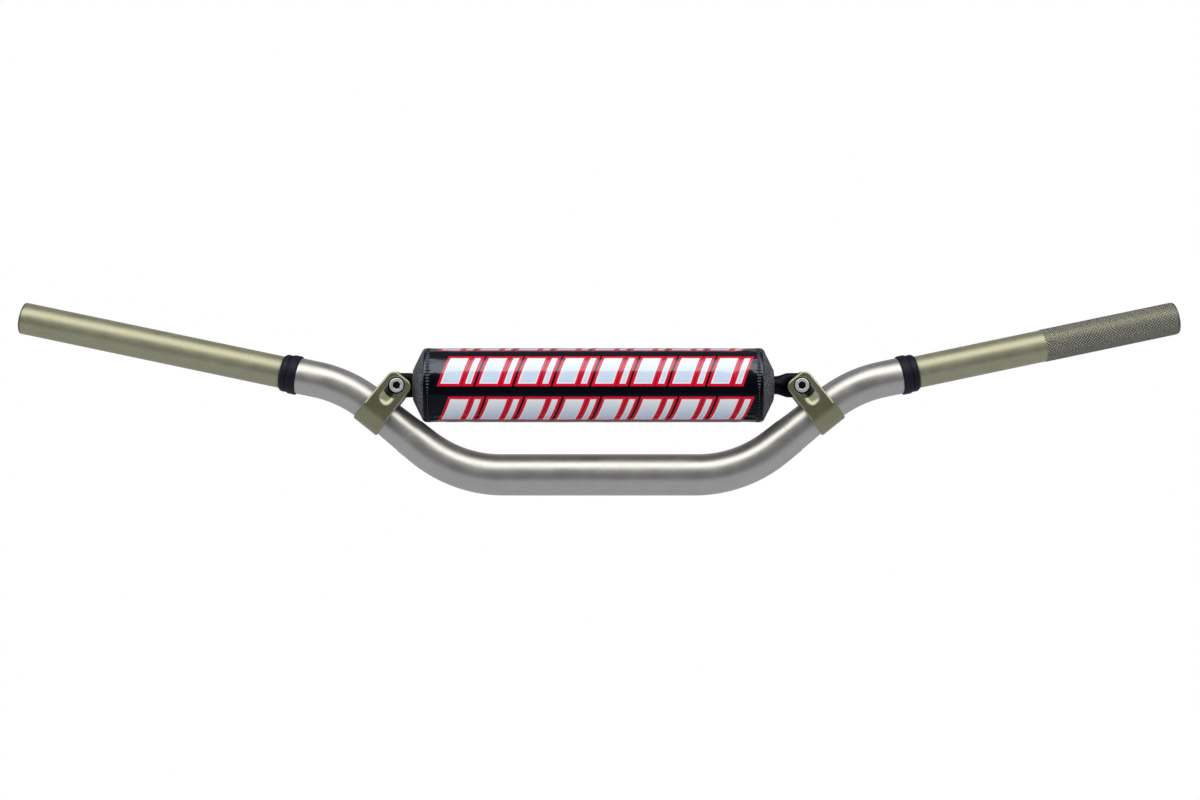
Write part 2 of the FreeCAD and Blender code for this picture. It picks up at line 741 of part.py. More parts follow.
def make_bar_end():
    """The flattened right end: round at bar_flare, deep and thin past bar_flat."""
    flare, flat = D["bar_flare"], D["bar_flat"]
    tall, thick, round_size = D["bar_height"], D["bar_thick"], 2 * D["bar_rad"]
    sections = []
    for i in range(FLARE_STEPS + 1):
        part = i / FLARE_STEPS
        eased = part * part * (3 - 2 * part)
        section = bar_section(
            f"bar_end_{i}",
            flare + (flat - flare) * part,
            round_size + (tall - round_size) * eased,
            round_size + (thick - round_size) * eased,
            2 + (FLAT_POWER - 2) * eased,
        )
        sections.append(section)
    reach = BOLT.x + D["bar_reach"]
    sections.append(bar_section("bar_end_end", reach, tall, thick, FLAT_POWER))
    loft = doc.addObject("Part::Loft", "bar_end")
    loft.Sections = sections
    loft.Solid = True
    loft.Ruled = True
    return loft


def make_bar_bore():
    """Tools for the bore, which closes down to a slit inside each flattened end."""
    bore_x = D["bar_flare"] - D["bore_short"]
    half = Vector(bore_x, 0, 0)
    middle = cylinder("bore_mid", "bar_bore", BAR_MID - half, BAR_MID + half)
    start = BAR_MID + half
    end = start + Vector(D["bore_taper"], 0, 0)
    taper = cone("bore_taper", "bar_bore", "bar_slit * 0.5", start, end)
    slit_x = bore_x + D["bore_taper"] - D["slit_lap"]
    length = BOLT.x + D["bar_reach"] + 3 - slit_x
    corner = Vector(slit_x, -D["bar_slit"] / 2, BOLT.z - D["slit_height"] / 2)
    slit = box("bar_slit_box", length, D["bar_slit"], D["slit_height"], corner)
    bind(slit, "Width", "bar_slit")
    bind(slit, "Height", "slit_height")
    others = [mirror_x("bore_taper_other", taper), mirror_x("bar_slit_other", slit)]
    return [middle, taper, slit] + others


def across_bar(name, radius, sign):
    """A cylinder on the bolt axis, from front to back through the crossbar."""
    at = to_side(BOLT, sign)
    return cylinder(name, radius, at + FRONT * BAR_CLEAR, at + BACK * BAR_CLEAR)


def bar_corner(side, sign):
    """What is cut off an end to round it about the bolt, seen from the front."""
    length, width, height = CORNER_BLOCK
    x = BOLT.x if sign > 0 else -BOLT.x - length
    corner = Vector(x, -width / 2, BOLT.z - height / 2)
    block = box(f"bar_corner_block_{side}", length, width, height, corner)
    keep = across_bar(f"bar_round_{side}", "bar_height * 0.5 + bar_extra", sign)
    return cut(f"bar_corner_{side}", block, keep, refine=False)


def make_crossbar():
    end = make_bar_end()
    half = Vector(D["bar_flare"], 0, 0)
    middle = cylinder("bar_mid", "bar_rad", BAR_MID - half, BAR_MID + half, "2 * bar_flare")
    bar = fuse("bar_solid", [mirror_x("bar_end_other", end), middle, end], refine=False)
    tools = make_bar_bore()
    tools += [bar_corner(side, sign) for side, sign in SIDES.items()]
    tools += [across_bar(f"bar_hole_{side}", "bar_hole", sign) for side, sign in SIDES.items()]
    for i, tool in enumerate(tools[:-1]):
        bar = cut(f"bar_step_{i}", bar, tool, refine=False)
    return cut("crossbar", bar, tools[-1], refine=False)


# ------------------------------------------------------------------------- pad
# In the pad's own frame local Z is the crossbar's axis, local X points down
# and local Y to the back. Outlines are (radius, height) pairs.
PAD_TURN = Rotation(Vector(0, 1, 0), 90)
PAD = Placement(Vector(D["pad_shift"], 0, BOLT.z), PAD_TURN)
FOAM_OUTLINE = [
    ("bar_rad + foam_clear", "-pad_half + 1.2"),
    ("pad_rad - cover_wall - foam_clear", "-pad_half + 2.4"),
    ("pad_rad - cover_wall - foam_clear", "pad_half - 2.4"),
    ("bar_rad + foam_clear", "pad_half - 1.2"),
]
COVER_OUTLINE = [
    ("pad_rad - cover_wall", "-pad_half"),
    ("pad_rad - 0.5", "-pad_half"),
    ("pad_rad", "-pad_half + 0.5"),
    ("pad_rad", "pad_half - 0.5"),
    ("pad_rad - 0.5", "pad_half"),
    ("pad_rad - cover_wall", "pad_half"),
]
# the rim sewn to the cover is at height 0, the opening at the far end
CAP_OUTLINE = [
    ("pad_rad - cover_wall - 0.6", "0"),
    ("pad_rad - 0.7", "0"),
    ("pad_rad - 0.5", "0.5"),
    ("pad_rad - 1.2", "1.3"),
    ("cap_hole + 0.3", "cap_deep"),
    ("cap_hole", "cap_deep - 0.3"),
    ("cap_hole", "cap_deep - cap_wall"),
]
# seen on the local YZ plane, from the axis out past the pad's back
SLOT_OUTLINE = [
    ("0", "-pad_half - 5"),
    ("40", "-pad_half - 5"),
    ("40", "pad_half + 5"),
    ("0", "pad_half + 5"),
]
# label, inner radius, thickness, angle, half length; from the cover outwards
STRIPS = [
    ("pad_loop_strip", "pad_rad + layer_gap", "strip_wall", "strip_angle", "strip_half"),
    (
        "pad_hook_strip",
        "pad_rad + 2 * layer_gap + strip_wall",
        "strip_wall",
        "strip_angle",
        "strip_half",
    ),
    (
        "pad_flap",
        "pad_rad + 3 * layer_gap + 2 * strip_wall",
        "flap_wall",
        "flap_angle",
        "flap_half",
    ),
]


def slotted(label, outline, slot, width):
    """A turned layer of the pad, open along its back."""
    body = turned(label, outline)
    drawing = sketch(body, f"{label}_{slot}_outline", "YZ_Plane")
    polygon(drawing, SLOT_OUTLINE)
    extrude(body, "Pocket", f"{label}_{slot}", drawing, width, symmetric=True)
    body.Placement = PAD
    return body


def make_end_cap(side, sign):
    """Conical cap just outside the cover's end."""
    x = D["pad_shift"] + sign * (D["pad_half"] + D["joint_gap"])
    place = Placement(Vector(x, 0, BOLT.z), Rotation(Vector(0, 1, 0), 90 * sign))
    return turned("pad_end_cap_" + side, CAP_OUTLINE, place)


def make_strip(label, inner, wall, angle, half):
    """A curved strip at the back of the pad, centred on the closing line."""
    outside = doc.addObject("Part::Cylinder", label + "_outside")
    bind(outside, "Radius", f"{inner} + {wall}")
    bind(outside, "Height", f"2 * {half}")
    bind(outside, "Angle", angle)
    inside = doc.addObject("Part::Cylinder", label + "_inside")
    bind(inside, "Radius", inner)
    bind(inside, "Height", f"2 * {half} + 2")
    base = Placement(Vector(D["pad_shift"] - D[half], 0, BOLT.z), PAD_TURN)
    # the middle of the strip's arc faces local +Y
    turn = Rotation(Vector(0, 0, 1), 90 - D[angle] / 2)
    outside.Placement = base.multiply(Placement(Vector(), turn))
    inside.Placement = base.multiply(Placement(Vector(0, 0, -1), Rotation()))
    return cut(label, outside, inside, refine=False)


# ----------------------------------------------------------------------- build
pieces = [make_inner_tube(), make_outer_tube()]
for side, sign in SIDES.items():
    pieces.append(make_collar(side, sign))
    pieces.append(make_clamp(side, sign))
    pieces.append(make_washer(side, sign))
    pieces.append(make_bolt(side, sign))
    pieces.append(make_nut(side, sign))
    pieces.append(make_bush("front", FRONT, side, sign))
    pieces.append(make_bush("rear", BACK, side, sign))
    pieces.append(make_end_cap(side, sign))
pieces.append(make_crossbar())
pieces.append(slotted("pad_foam_core", FOAM_OUTLINE, "slit", "foam_slit"))
pieces.append(slotted("pad_cover", COVER_OUTLINE, "gap", "cover_gap"))
pieces += [make_strip(*row) for row in STRIPS]

# ---------------------------------------------------------------- check, write
doc.recompute()
for obj in doc.Objects:
    bad = [state for state in obj.State if state in ("Invalid", "Error")]
    assert not bad, f"{obj.Name} {obj.State}"

os.makedirs("parts", exist_ok=True)
for piece in pieces:
    shape = piece.Shape
    assert not shape.isNull() and shape.isValid(), piece.Label
    assert len(shape.Solids) == 1, f"{piece.Label} has {len(shape.Solids)} solids"
    shape.exportStep(f"parts/{piece.Label}.step")
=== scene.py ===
"""A handlebar with two tubes, two clamps and a padded crossbar.

The bar runs along X and is mirrored about X = 0, with its left end at -X. Its front faces
-Y, towards the camera, and +Z is up. Meshes are in metres; sizes given in millimetres are
multiplied by MM.
"""
import bpy, bmesh
import math
from functools import partial, reduce
import numpy as np
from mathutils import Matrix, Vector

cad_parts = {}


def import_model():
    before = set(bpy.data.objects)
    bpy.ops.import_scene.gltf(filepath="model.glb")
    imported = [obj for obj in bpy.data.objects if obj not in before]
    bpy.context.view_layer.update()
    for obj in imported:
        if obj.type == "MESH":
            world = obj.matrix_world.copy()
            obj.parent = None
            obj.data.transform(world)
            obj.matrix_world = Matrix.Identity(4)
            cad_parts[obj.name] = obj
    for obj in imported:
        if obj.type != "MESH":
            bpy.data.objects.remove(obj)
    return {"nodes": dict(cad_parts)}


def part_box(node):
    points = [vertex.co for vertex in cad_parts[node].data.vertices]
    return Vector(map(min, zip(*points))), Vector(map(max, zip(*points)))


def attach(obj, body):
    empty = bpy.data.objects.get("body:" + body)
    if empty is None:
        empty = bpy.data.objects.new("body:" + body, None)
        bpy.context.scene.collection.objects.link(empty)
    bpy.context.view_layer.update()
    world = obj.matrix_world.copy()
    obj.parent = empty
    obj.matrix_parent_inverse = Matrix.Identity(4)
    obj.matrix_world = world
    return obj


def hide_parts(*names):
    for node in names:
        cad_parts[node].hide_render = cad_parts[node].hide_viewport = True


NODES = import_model()["nodes"]
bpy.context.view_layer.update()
MM = 0.001
scene = bpy.context.scene
scene.view_settings.view_transform = "Standard"
scene.view_settings.look = "None"

# ------------------------------------------------------------ clamps, in metres
bolt_low, bolt_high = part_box("clamp_bolt_right")
BOLT_X = (bolt_low.x + bolt_high.x) / 2
BOLT_Z = (bolt_low.z + bolt_high.z) / 2
HEAD_Y = bolt_low.y  # front of the bolt head
FACE_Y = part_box("clamp_right")[0].y  # front of the clamp

# ------------------------------------------------- tube centreline, in millimetres
CENTRE_HALF = 67.0  # half of the straight middle
BEND_RADIUS, BEND_ANGLE = 87.5, math.radians(38.6)
RISE_LENGTH = 68.2  # from the bend to the corner where the rise and grip lines meet
SWEEP_RADIUS = 85.0  # rounds that corner
SLEEVE, COLLAR, COLLAR_GAP = 34.2, 11.75, 0.85  # in turn along the grip from the corner
BEND_START = np.array([CENTRE_HALF, 0, 0])
TIP = np.array([404.5, 38.0, 109.3])


def bend_point(angle):
    offset = np.array([math.sin(angle), 0, 1 - math.cos(angle)])
    return BEND_START + BEND_RADIUS * offset


BEND_END = bend_point(BEND_ANGLE)
RISE = np.array([math.cos(BEND_ANGLE), 0, math.sin(BEND_ANGLE)])
CORNER = BEND_END + RISE * RISE_LENGTH
GRIP_LENGTH = float(np.linalg.norm(TIP - CORNER))
GRIP = (TIP - CORNER) / GRIP_LENGTH
TURN = math.acos(float(RISE @ GRIP))
TANGENT = SWEEP_RADIUS * math.tan(TURN / 2)  # from the corner to either end of the sweep
SWEEP_START = CORNER - RISE * TANGENT
SIDE = GRIP - RISE * float(GRIP @ RISE)  # towards the sweep's centre
SIDE /= np.linalg.norm(SIDE)

OUTER_MIDDLE, OUTER_BEND_END, OUTER_END = 14.3, 13.5, 12.5  # outer tube's radii
STEP_AT, TAPER_END = 13.0, 30.5  # along the rise
KNURL_LOW, KNURL_HIGH, KNURL_LENGTH = 11.0, 11.55, 99.0

# ------------------------------------------------------------------------- pad
PAD_LEFT, PAD_RIGHT = (corner.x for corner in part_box("pad_cover"))
PAD_MIDDLE = (PAD_LEFT + PAD_RIGHT) / 2
BAR_Z = sum(corner.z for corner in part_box("crossbar")) / 2
PAD_RADIUS_MM = 25.7
PAD_RADIUS = PAD_RADIUS_MM * MM
SLIT_ANGLE = 1.5 / PAD_RADIUS_MM  # from the rear centre line to either long edge
COVER_ANGLES = math.pi + SLIT_ANGLE - 2 * math.pi, math.pi - SLIT_ANGLE
RIM_STITCHES = 74  # spaces round the pad
SEAM_MM = 3.0  # from the end of the cover to its stitching
MOVE_LIMIT = 0.55 * MM  # most that relaxing may move the cloth
FLAP_HALF, FLAP_TAIL = math.radians(26), math.radians(9)
STRIP_HALF = math.radians(22)


# ---------------------------------------------------------------- mesh helpers
def add_mesh(name, vertices, faces, smooth=True, sharp=34):
    """Adds a mesh object whose edges steeper than sharp, in degrees, stay hard."""
    mesh = bpy.data.meshes.new(name)
    mesh.from_pydata([tuple(vertex) for vertex in vertices], [], faces)
    edit = bmesh.new()
    edit.from_mesh(mesh)
    bmesh.ops.remove_doubles(edit, verts=edit.verts, dist=1e-7)
    bmesh.ops.recalc_face_normals(edit, faces=edit.faces)
    if smooth:
        limit = math.radians(sharp)
        for face in edit.faces:
            face.smooth = True
        for edge in edit.edges:
            if len(edge.link_faces) == 2 and edge.calc_face_angle(0) > limit:
                edge.smooth = False
    edit.to_mesh(mesh)
    edit.free()
    ob = bpy.data.objects.new(name, mesh)
    scene.collection.objects.link(ob)
    return ob


def grid_quads(index, wrap_rows=False, wrap_columns=False):
    """Quads over a grid of vertex numbers, row by row."""
    if wrap_rows:
        index = np.vstack([index, index[:1]])
    if wrap_columns:
        index = np.hstack([index, index[:, :1]])
    corners = index[:-1, :-1], index[:-1, 1:], index[1:, 1:], index[1:, :-1]
    return np.stack(corners, axis=-1).reshape(-1, 4).tolist()


def ring_skin(name, points, closed=True, sharp=34):
    """Skin over points[u, v]: u goes round the wall's profile, v round or along the piece.

    With closed=False the two v ends are filled with quads.
    """
    rows, columns = points.shape[:2]
    index = np.arange(rows * columns).reshape(rows, columns)
    faces = grid_quads(index, wrap_rows=True, wrap_columns=closed)
    if not closed:
        for v in (0, columns - 1):
            for k in range(rows // 2 - 1):
                u = [k, k + 1, rows - 2 - k, rows - 1 - k]
                faces.append(index[u, v].tolist())
    return add_mesh(name, points.reshape(-1, 3), faces, sharp=sharp)


def dress(ob, material, body, replaces=None):
    ob.data.materials.clear()
    ob.data.materials.append(material)
    if body:
        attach(ob, body)
    if replaces:
        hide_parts(replaces)


def smoothstep(start, end, x):
    t = np.clip((x - start) / (end - start), 0, 1)
    return t * t * (3 - 2 * t)


# ------------------------------------------------------------ node-tree helpers
class Nodes:
    """The emptied node tree of a material or world."""

    def __init__(self, owner):
        owner.use_nodes = True
        self.tree = owner.node_tree
        self.tree.nodes.clear()

    def put(self, socket, value):
        if isinstance(value, bpy.types.NodeSocket):
            self.tree.links.new(value, socket)
        elif isinstance(value, (tuple, list)) and len(value) == 3 and socket.type == "RGBA":
            socket.default_value = (*value, 1)
        else:
            socket.default_value = value

    def node(self, kind, inputs=None, **properties):
        made = self.tree.nodes.new(kind)
        for key, value in properties.items():
            setattr(made, key, value)
        for key, value in (inputs or {}).items():
            self.put(made.inputs[key], value)
        return made

    def math(self, operation, *values):
        inputs = dict(enumerate(values))
        return self.node("ShaderNodeMath", inputs, operation=operation).outputs[0]


class Shader(Nodes):
    """A Principled material with object coordinates."""

    def __init__(self, name):
        self.material = bpy.data.materials.new(name)
        super().__init__(self.material)
        output = self.node("ShaderNodeOutputMaterial")
        self.principled = self.node("ShaderNodeBsdfPrincipled")
        self.put(output.inputs[0], self.principled.outputs[0])
        self.coords = self.node("ShaderNodeTexCoord").outputs["Object"]

    def finish(self, **inputs):
        """Sets the Principled inputs and gives the material."""
        for key, value in inputs.items():
            self.put(self.principled.inputs[key.replace("_", " ")], value)
        return self.material

    def math(self, operation, first, second=0.0):
        """A sum of one or two values; inputs it doesn't use are zero."""
        return super().math(operation, first, second, 0.0)

    def add(self, first, second):
        return self.math("ADD", first, second)

    def sub(self, first, second):
        return self.math("SUBTRACT", first, second)

    def mul(self, first, second):
        return self.math("MULTIPLY", first, second)

    def size(self, value):
        return self.math("ABSOLUTE", value)

    def above(self, value, limit):
        return self.math("GREATER_THAN", value, limit)

    def below(self, value, limit):
        return self.math("LESS_THAN", value, limit)

    def between(self, value, low, high):
        return self.mul(self.above(value, low), self.below(value, high))

    def ramp(self, value, span, to=(0.0, 1.0)):
        """Maps the span of a value onto another, clamped at its ends."""
        inputs = dict(enumerate((value, *span, *to)))
        return self.node("ShaderNodeMapRange", inputs).outputs[0]

    def mix(self, amount, first, second):
        inputs = {0: amount, 6: first, 7: second}
        return self.node("ShaderNodeMix", inputs, data_type="RGBA").outputs[2]

    def noise(self, scale, detail=3.0, rough=0.6, vector=None, distortion=0.0):
        inputs = {"Vector": vector or self.coords, "Scale": scale, "Detail": detail,
                  "Roughness": rough, "Distortion": distortion}
        return self.node("ShaderNodeTexNoise", inputs).outputs["Fac"]

    def separate(self, vector=None):
        return self.node("ShaderNodeSeparateXYZ", {0: vector or self.coords}).outputs

    def normal(self, kind="Normal"):
        return self.node("ShaderNodeNewGeometry").outputs[kind]

    def vector_math(self, operation, first, second=None):
        inputs = {0: first} if second is None else {0: first, 1: second}
        return self.node("ShaderNodeVectorMath", inputs, operation=operation).outputs

    def bump(self, height, distance, strength=1.0, after=None):
        inputs = {"Height": height, "Distance": distance, "Strength": strength}
        if after is not None:
            inputs["Normal"] = after
        return self.node("ShaderNodeBump", inputs).outputs[0]

    def edges(self, radius):
        """1 on convex and concave edges, 0 on open faces."""
        bevel = self.node("ShaderNodeBevel", {"Radius": radius}, samples=6).outputs[0]
        match = self.vector_math("DOT_PRODUCT", bevel, self.normal())["Value"]
        return self.ramp(self.sub(1.0, match), (0.02, 0.25))


def tinted(colour, factor):
    return tuple(channel * factor for channel in colour)


# ---------------------------------------------------------------------- metals
def satin_metal(name, colour, dark, rough, metallic, grain, grain_depth, blotch=55.0,
                edge=None, extra=None):
    """Grained metal. grain and blotch are noise scales; edge is (amount, colour, radius) of
    the painted highlight that pales the edges; extra is a function that changes the colour and
    metallic value."""
    tree = Shader(name)
    cloud = tree.noise(scale=blotch, detail=4)
    fine = tree.noise(scale=grain)
    speck = tree.noise(scale=grain * 0.32, detail=2, rough=0.5)
    tone = tree.mix(tree.ramp(cloud, (0.35, 0.7)), dark, colour)
    tone = tree.mix(tree.ramp(speck, (0.25, 0.75), to=(0.0, 0.22)), tone, tinted(dark, 0.72))
    cloud_rough = tree.ramp(cloud, (0.3, 0.7), to=(rough - 0.05, rough + 0.05))
    roughness = tree.add(cloud_rough, tree.ramp(fine, (0.3, 0.7), to=(-0.04, 0.05)))
    if edge:
        amount, edge_highlight_colour, radius = edge
        # painted highlight: the edges are paled in patches
        patchy = tree.ramp(speck, (0.2, 0.6), to=(0.65, 1.0))
        mask = tree.mul(tree.edges(radius), patchy)
        tone = tree.mix(tree.mul(mask, amount), tone, edge_highlight_colour)
        roughness = tree.sub(roughness, tree.mul(mask, 0.1))
    if extra:
        tone, metallic = extra(tree, tone, metallic)
    return tree.finish(Base_Color=tone, Metallic=metallic, Roughness=roughness,
                       Normal=tree.bump(fine, distance=grain_depth))


def bolt_axis_distance(tree):
    """Distance from the nearer bolt's axis, and the y coordinate."""
    x, y, z = tree.separate()
    across = tree.sub(tree.size(x), BOLT_X)
    up = tree.sub(z, BOLT_Z)
    squares = tree.add(tree.mul(across, across), tree.mul(up, up))
    return tree.math("SQRT", squares), y


def socket_painted_shade(tree, colour, metallic):
    """Darkens the inside of the hexagon socket and the head's flank with painted shade."""
    socket_radius, flank_radius, head_depth = 0.00335, 0.0048, 0.0075
    radius, y = bolt_axis_distance(tree)
    depth = tree.ramp(y, (HEAD_Y + 0.0007, HEAD_Y + 0.0012))
    inside = tree.mul(depth, tree.below(radius, socket_radius))
    past_face = tree.ramp(y, (HEAD_Y + 0.0004, HEAD_Y + 0.001))
    flank = tree.mul(tree.above(radius, flank_radius), past_face)
    front = tree.below(y, HEAD_Y + head_depth)
    mask = tree.mul(tree.math("MAXIMUM", inside, tree.mul(flank, 0.96)), front)
    # painted shade in the socket and on the flank down in the counterbore
    dark = tree.mix(mask, colour, (0.012, 0.012, 0.016))
    return dark, tree.ramp(mask, (0, 1), to=(metallic, 0.2))


def clamp_painted_light(tree, colour, metallic):
    """Painted highlight on the clamp's cut edges and the scoop's outer ring; painted shadow over
    the rest round the head.
    """
    rim_depth = 0.00055
    scoop_radii, scoop_depths = (0.0059, 0.0175), (0.0006, 0.0032)
    highlight_from = (0.0091, 0.0099)  # painted shadow gives way to painted highlight between these radii
    well_radius, well_depth, well_back = 0.0061, 0.0009, -0.005
    facing = tree.size(tree.separate(tree.normal("True Normal"))["Y"])
    radius, y = bolt_axis_distance(tree)
    slant = tree.between(facing, 0.3, 0.93)
    front = tree.below(y, FACE_Y + rim_depth)
    back = tree.above(y, -FACE_Y - rim_depth)
    rim = tree.mul(slant, tree.math("MAXIMUM", front, back))
    inside = tree.between(y, FACE_Y + scoop_depths[0], FACE_Y + scoop_depths[1])
    scoop = tree.mul(inside, tree.between(radius, *scoop_radii))
    scoop_highlight = tree.mul(scoop, tree.ramp(radius, highlight_from))
    scoop_shadow = tree.mul(scoop, tree.ramp(radius, highlight_from, to=(1, 0)))
    # painted highlight on the slanted chamfer faces
    colour = tree.mix(tree.mul(rim, 0.35), colour, (0.68, 0.67, 0.50))
    # painted highlight on the scoop's outer ring
    colour = tree.mix(tree.mul(scoop_highlight, 0.55), colour, (0.62, 0.61, 0.43))
    # painted shadow in the scoop nearer the head
    colour = tree.mix(tree.mul(scoop_shadow, 0.92), colour, (0.03, 0.03, 0.022))
    metallic = tree.sub(metallic, tree.mul(scoop_highlight, 0.38))
    # painted shadow on the counterbore wall round the head
    well = tree.mul(tree.below(radius, well_radius), tree.below(y, well_back))
    well = tree.mul(well, tree.above(y, FACE_Y + well_depth))
    colour = tree.mix(tree.mul(well, 0.97), colour, (0.02, 0.018, 0.014))
    return colour, metallic


def shaded_tube_ends(tree, colour, metallic):
    """Darkens the last stretch of the tube, measured along the grip, with painted shade on its
    rounded end.
    """
    across = tree.size(tree.separate()["X"])
    _, y, z = tree.separate()
    along = tree.add(tree.mul(across, float(GRIP[0])), tree.mul(y, float(GRIP[1])))
    along = tree.add(along, tree.mul(z, float(GRIP[2])))
    last = float(TIP @ GRIP) * MM
    mask = tree.ramp(along, (last - 0.0018, last - 0.0010), to=(0, 0.85))
    # painted shade on the tube's rounded end
    return tree.mix(mask, colour, (0.10, 0.10, 0.075)), metallic


def knurl_material():
    tree = Shader("gold_knurl")
    grain = tree.noise(scale=2600)
    cloud = tree.noise(scale=60)
    # distance from the right grip's axis
    from_tip = tree.vector_math("SUBTRACT", tree.coords, tuple(TIP * MM))[0]
    off_axis = tree.vector_math("CROSS_PRODUCT", from_tip, tuple(GRIP))[0]
    radius = tree.vector_math("LENGTH", off_axis)["Value"]
    height = tree.ramp(radius, (KNURL_LOW * MM, KNURL_HIGH * MM))
    colour = tree.mix(tree.ramp(cloud, (0.3, 0.7)), (0.24, 0.245, 0.235), (0.30, 0.305, 0.295))
    # painted shade in the grooves and painted highlight on the pyramid tops
    groove_shade = tree.ramp(height, (0.30, 0.62), to=(0.985, 0.0))
    colour = tree.mix(groove_shade, colour, (0.008, 0.008, 0.007))
    colour = tree.mix(tree.ramp(height, (0.62, 0.86)), colour, (0.90, 0.90, 0.90))
    return tree.finish(Base_Color=colour, Metallic=0.6,
                       Roughness=tree.ramp(grain, (0.3, 0.7), to=(0.36, 0.5)),
                       Normal=tree.bump(grain, distance=0.00002))


# ------------------------------------------------------------ rubber and plastics
def rubber_material():
    tree = Shader("navy_rubber")
    grain = tree.noise(scale=2600, detail=4, rough=0.65)
    dust = tree.ramp(tree.noise(scale=170), (0.45, 0.75), to=(0, 0.5))
    return tree.finish(
        Base_Color=tree.mix(dust, (0.0055, 0.0045, 0.018), (0.012, 0.011, 0.028)),
        Roughness=tree.ramp(grain, (0.3, 0.7), to=(0.40, 0.58)),
        Normal=tree.bump(grain, distance=0.00003), Specular_IOR_Level=0.28)


def nylon_material():
    tree = Shader("black_nylon_moulded")
    grain = tree.noise(scale=1500)
    swirl = tree.ramp(tree.noise(scale=120, distortion=1.5), (0.3, 0.7))
    return tree.finish(
        Base_Color=tree.mix(swirl, (0.018, 0.018, 0.019), (0.034, 0.034, 0.036)),
        Roughness=tree.ramp(grain, (0.3, 0.7), to=(0.38, 0.55)),
        Normal=tree.bump(grain, distance=0.00003))


def foam_material():
    tree = Shader("closed_cell_foam")
    cells = tree.node("ShaderNodeTexVoronoi", {"Vector": tree.coords, "Scale": 900.0},
                      feature="DISTANCE_TO_EDGE").outputs["Distance"]
    cloud = tree.ramp(tree.noise(scale=90), (0.3, 0.7))
    wall = tree.ramp(cells, (0.0, 0.25), to=(1.0, 0.0))
    colour = tree.mix(cloud, (0.055, 0.056, 0.060), (0.085, 0.086, 0.090))
    colour = tree.mix(tree.mul(wall, 0.5), colour, (0.13, 0.13, 0.135))
    return tree.finish(Base_Color=colour, Roughness=0.92,
                       Normal=tree.bump(wall, distance=0.0002))


# ----------------------------------------------------------------------- vinyl
def polar(tree):
    """Degrees round the pad (0 at the front, 90 at the top), and mm along it from its middle."""
    x, y, z = tree.separate()
    angle = tree.math("ARCTAN2", tree.sub(z, BAR_Z), tree.mul(y, -1.0))
    along = tree.mul(tree.sub(x, PAD_MIDDLE), 1000.0)
    return tree.mul(angle, 180 / math.pi), along


def print_pattern(tree):
    """Distance in mm from the printed shapes, negative inside, and a painted highlight that grows
    up each row.
    """
    row_degrees = (24.3, -44.2, 92.7, -112.6)
    row_half, outline = 11.8, 1.9  # the row's half height takes in the outline
    row_reach = 14.0  # no row is drawn beyond this
    slant = math.radians(18.6)
    repeat = 27.0
    shapes = ((8.7, 6.4), (21.6, 2.1))  # middle and half width: wide block, narrow slash
    print_half = 4 * repeat
    shift, stretch = 103.6, print_half / 105.8
    far = 50.0  # added where nothing is printed
    degrees, x = polar(tree)
    distances, row_highlights = [], []
    for centre in row_degrees:
        v = tree.mul(tree.sub(degrees, centre), PAD_RADIUS_MM * math.pi / 180)
        across = tree.sub(tree.size(v), row_half - outline)
        u = tree.add(tree.sub(x, tree.mul(v, math.tan(slant))), shift)
        u = tree.mul(u, stretch)
        in_row = tree.below(tree.size(v), row_reach)
        whole = tree.math("FLOOR", tree.math("DIVIDE", u, repeat))
        cell = tree.mul(tree.sub(tree.math("DIVIDE", u, repeat), whole), repeat)
        # slanted sides are measured square to the edge
        block, slash = (
            tree.mul(tree.sub(tree.size(tree.sub(cell, middle)), half), math.cos(slant))
            for middle, half in shapes)
        distance = tree.math("MAXIMUM", tree.math("MINIMUM", block, slash), across)
        past_end = tree.above(tree.size(tree.sub(u, print_half)), print_half)
        distance = tree.add(distance, tree.mul(past_end, far))
        distances.append(tree.add(distance, tree.mul(tree.sub(1.0, in_row), far)))
        row_highlights.append(tree.mul(tree.ramp(v, (-9.0, 9.0)), in_row))
    nearest = reduce(partial(tree.math, "MINIMUM"), distances)
    return nearest, reduce(partial(tree.math, "MAXIMUM"), row_highlights)


def print_colour(tree, black):
    """Red outlines, white borders and pale blue shapes on black; also the red mask."""
    distance, row_highlight = print_pattern(tree)
    red = tree.ramp(distance, (1.80, 1.95), to=(1.0, 0.0))
    white = tree.ramp(distance, (-0.05, 0.05), to=(1.0, 0.0))
    blue = tree.ramp(distance, (-0.95, -0.75), to=(1.0, 0.0))
    tint = tree.ramp(tree.noise(scale=140, detail=2, rough=0.5), (0.3, 0.7))
    colour = tree.mix(red, black, (0.74, 0.006, 0.035))
    colour = tree.mix(white, colour, (0.90, 0.92, 0.96))
    sky = tree.mix(tint, (0.56, 0.71, 0.94), (0.62, 0.76, 0.96))
    # painted highlight: the pale blue turns near white up each row
    colour = tree.mix(blue, colour, tree.mix(row_highlight, sky, (0.93, 0.95, 0.98)))
    # in the metal's reflections the print is lost in the dark of the pad
    glossy = tree.node("ShaderNodeLightPath").outputs["Is Glossy Ray"]
    return tree.mix(tree.mul(glossy, 0.85), colour, black), red


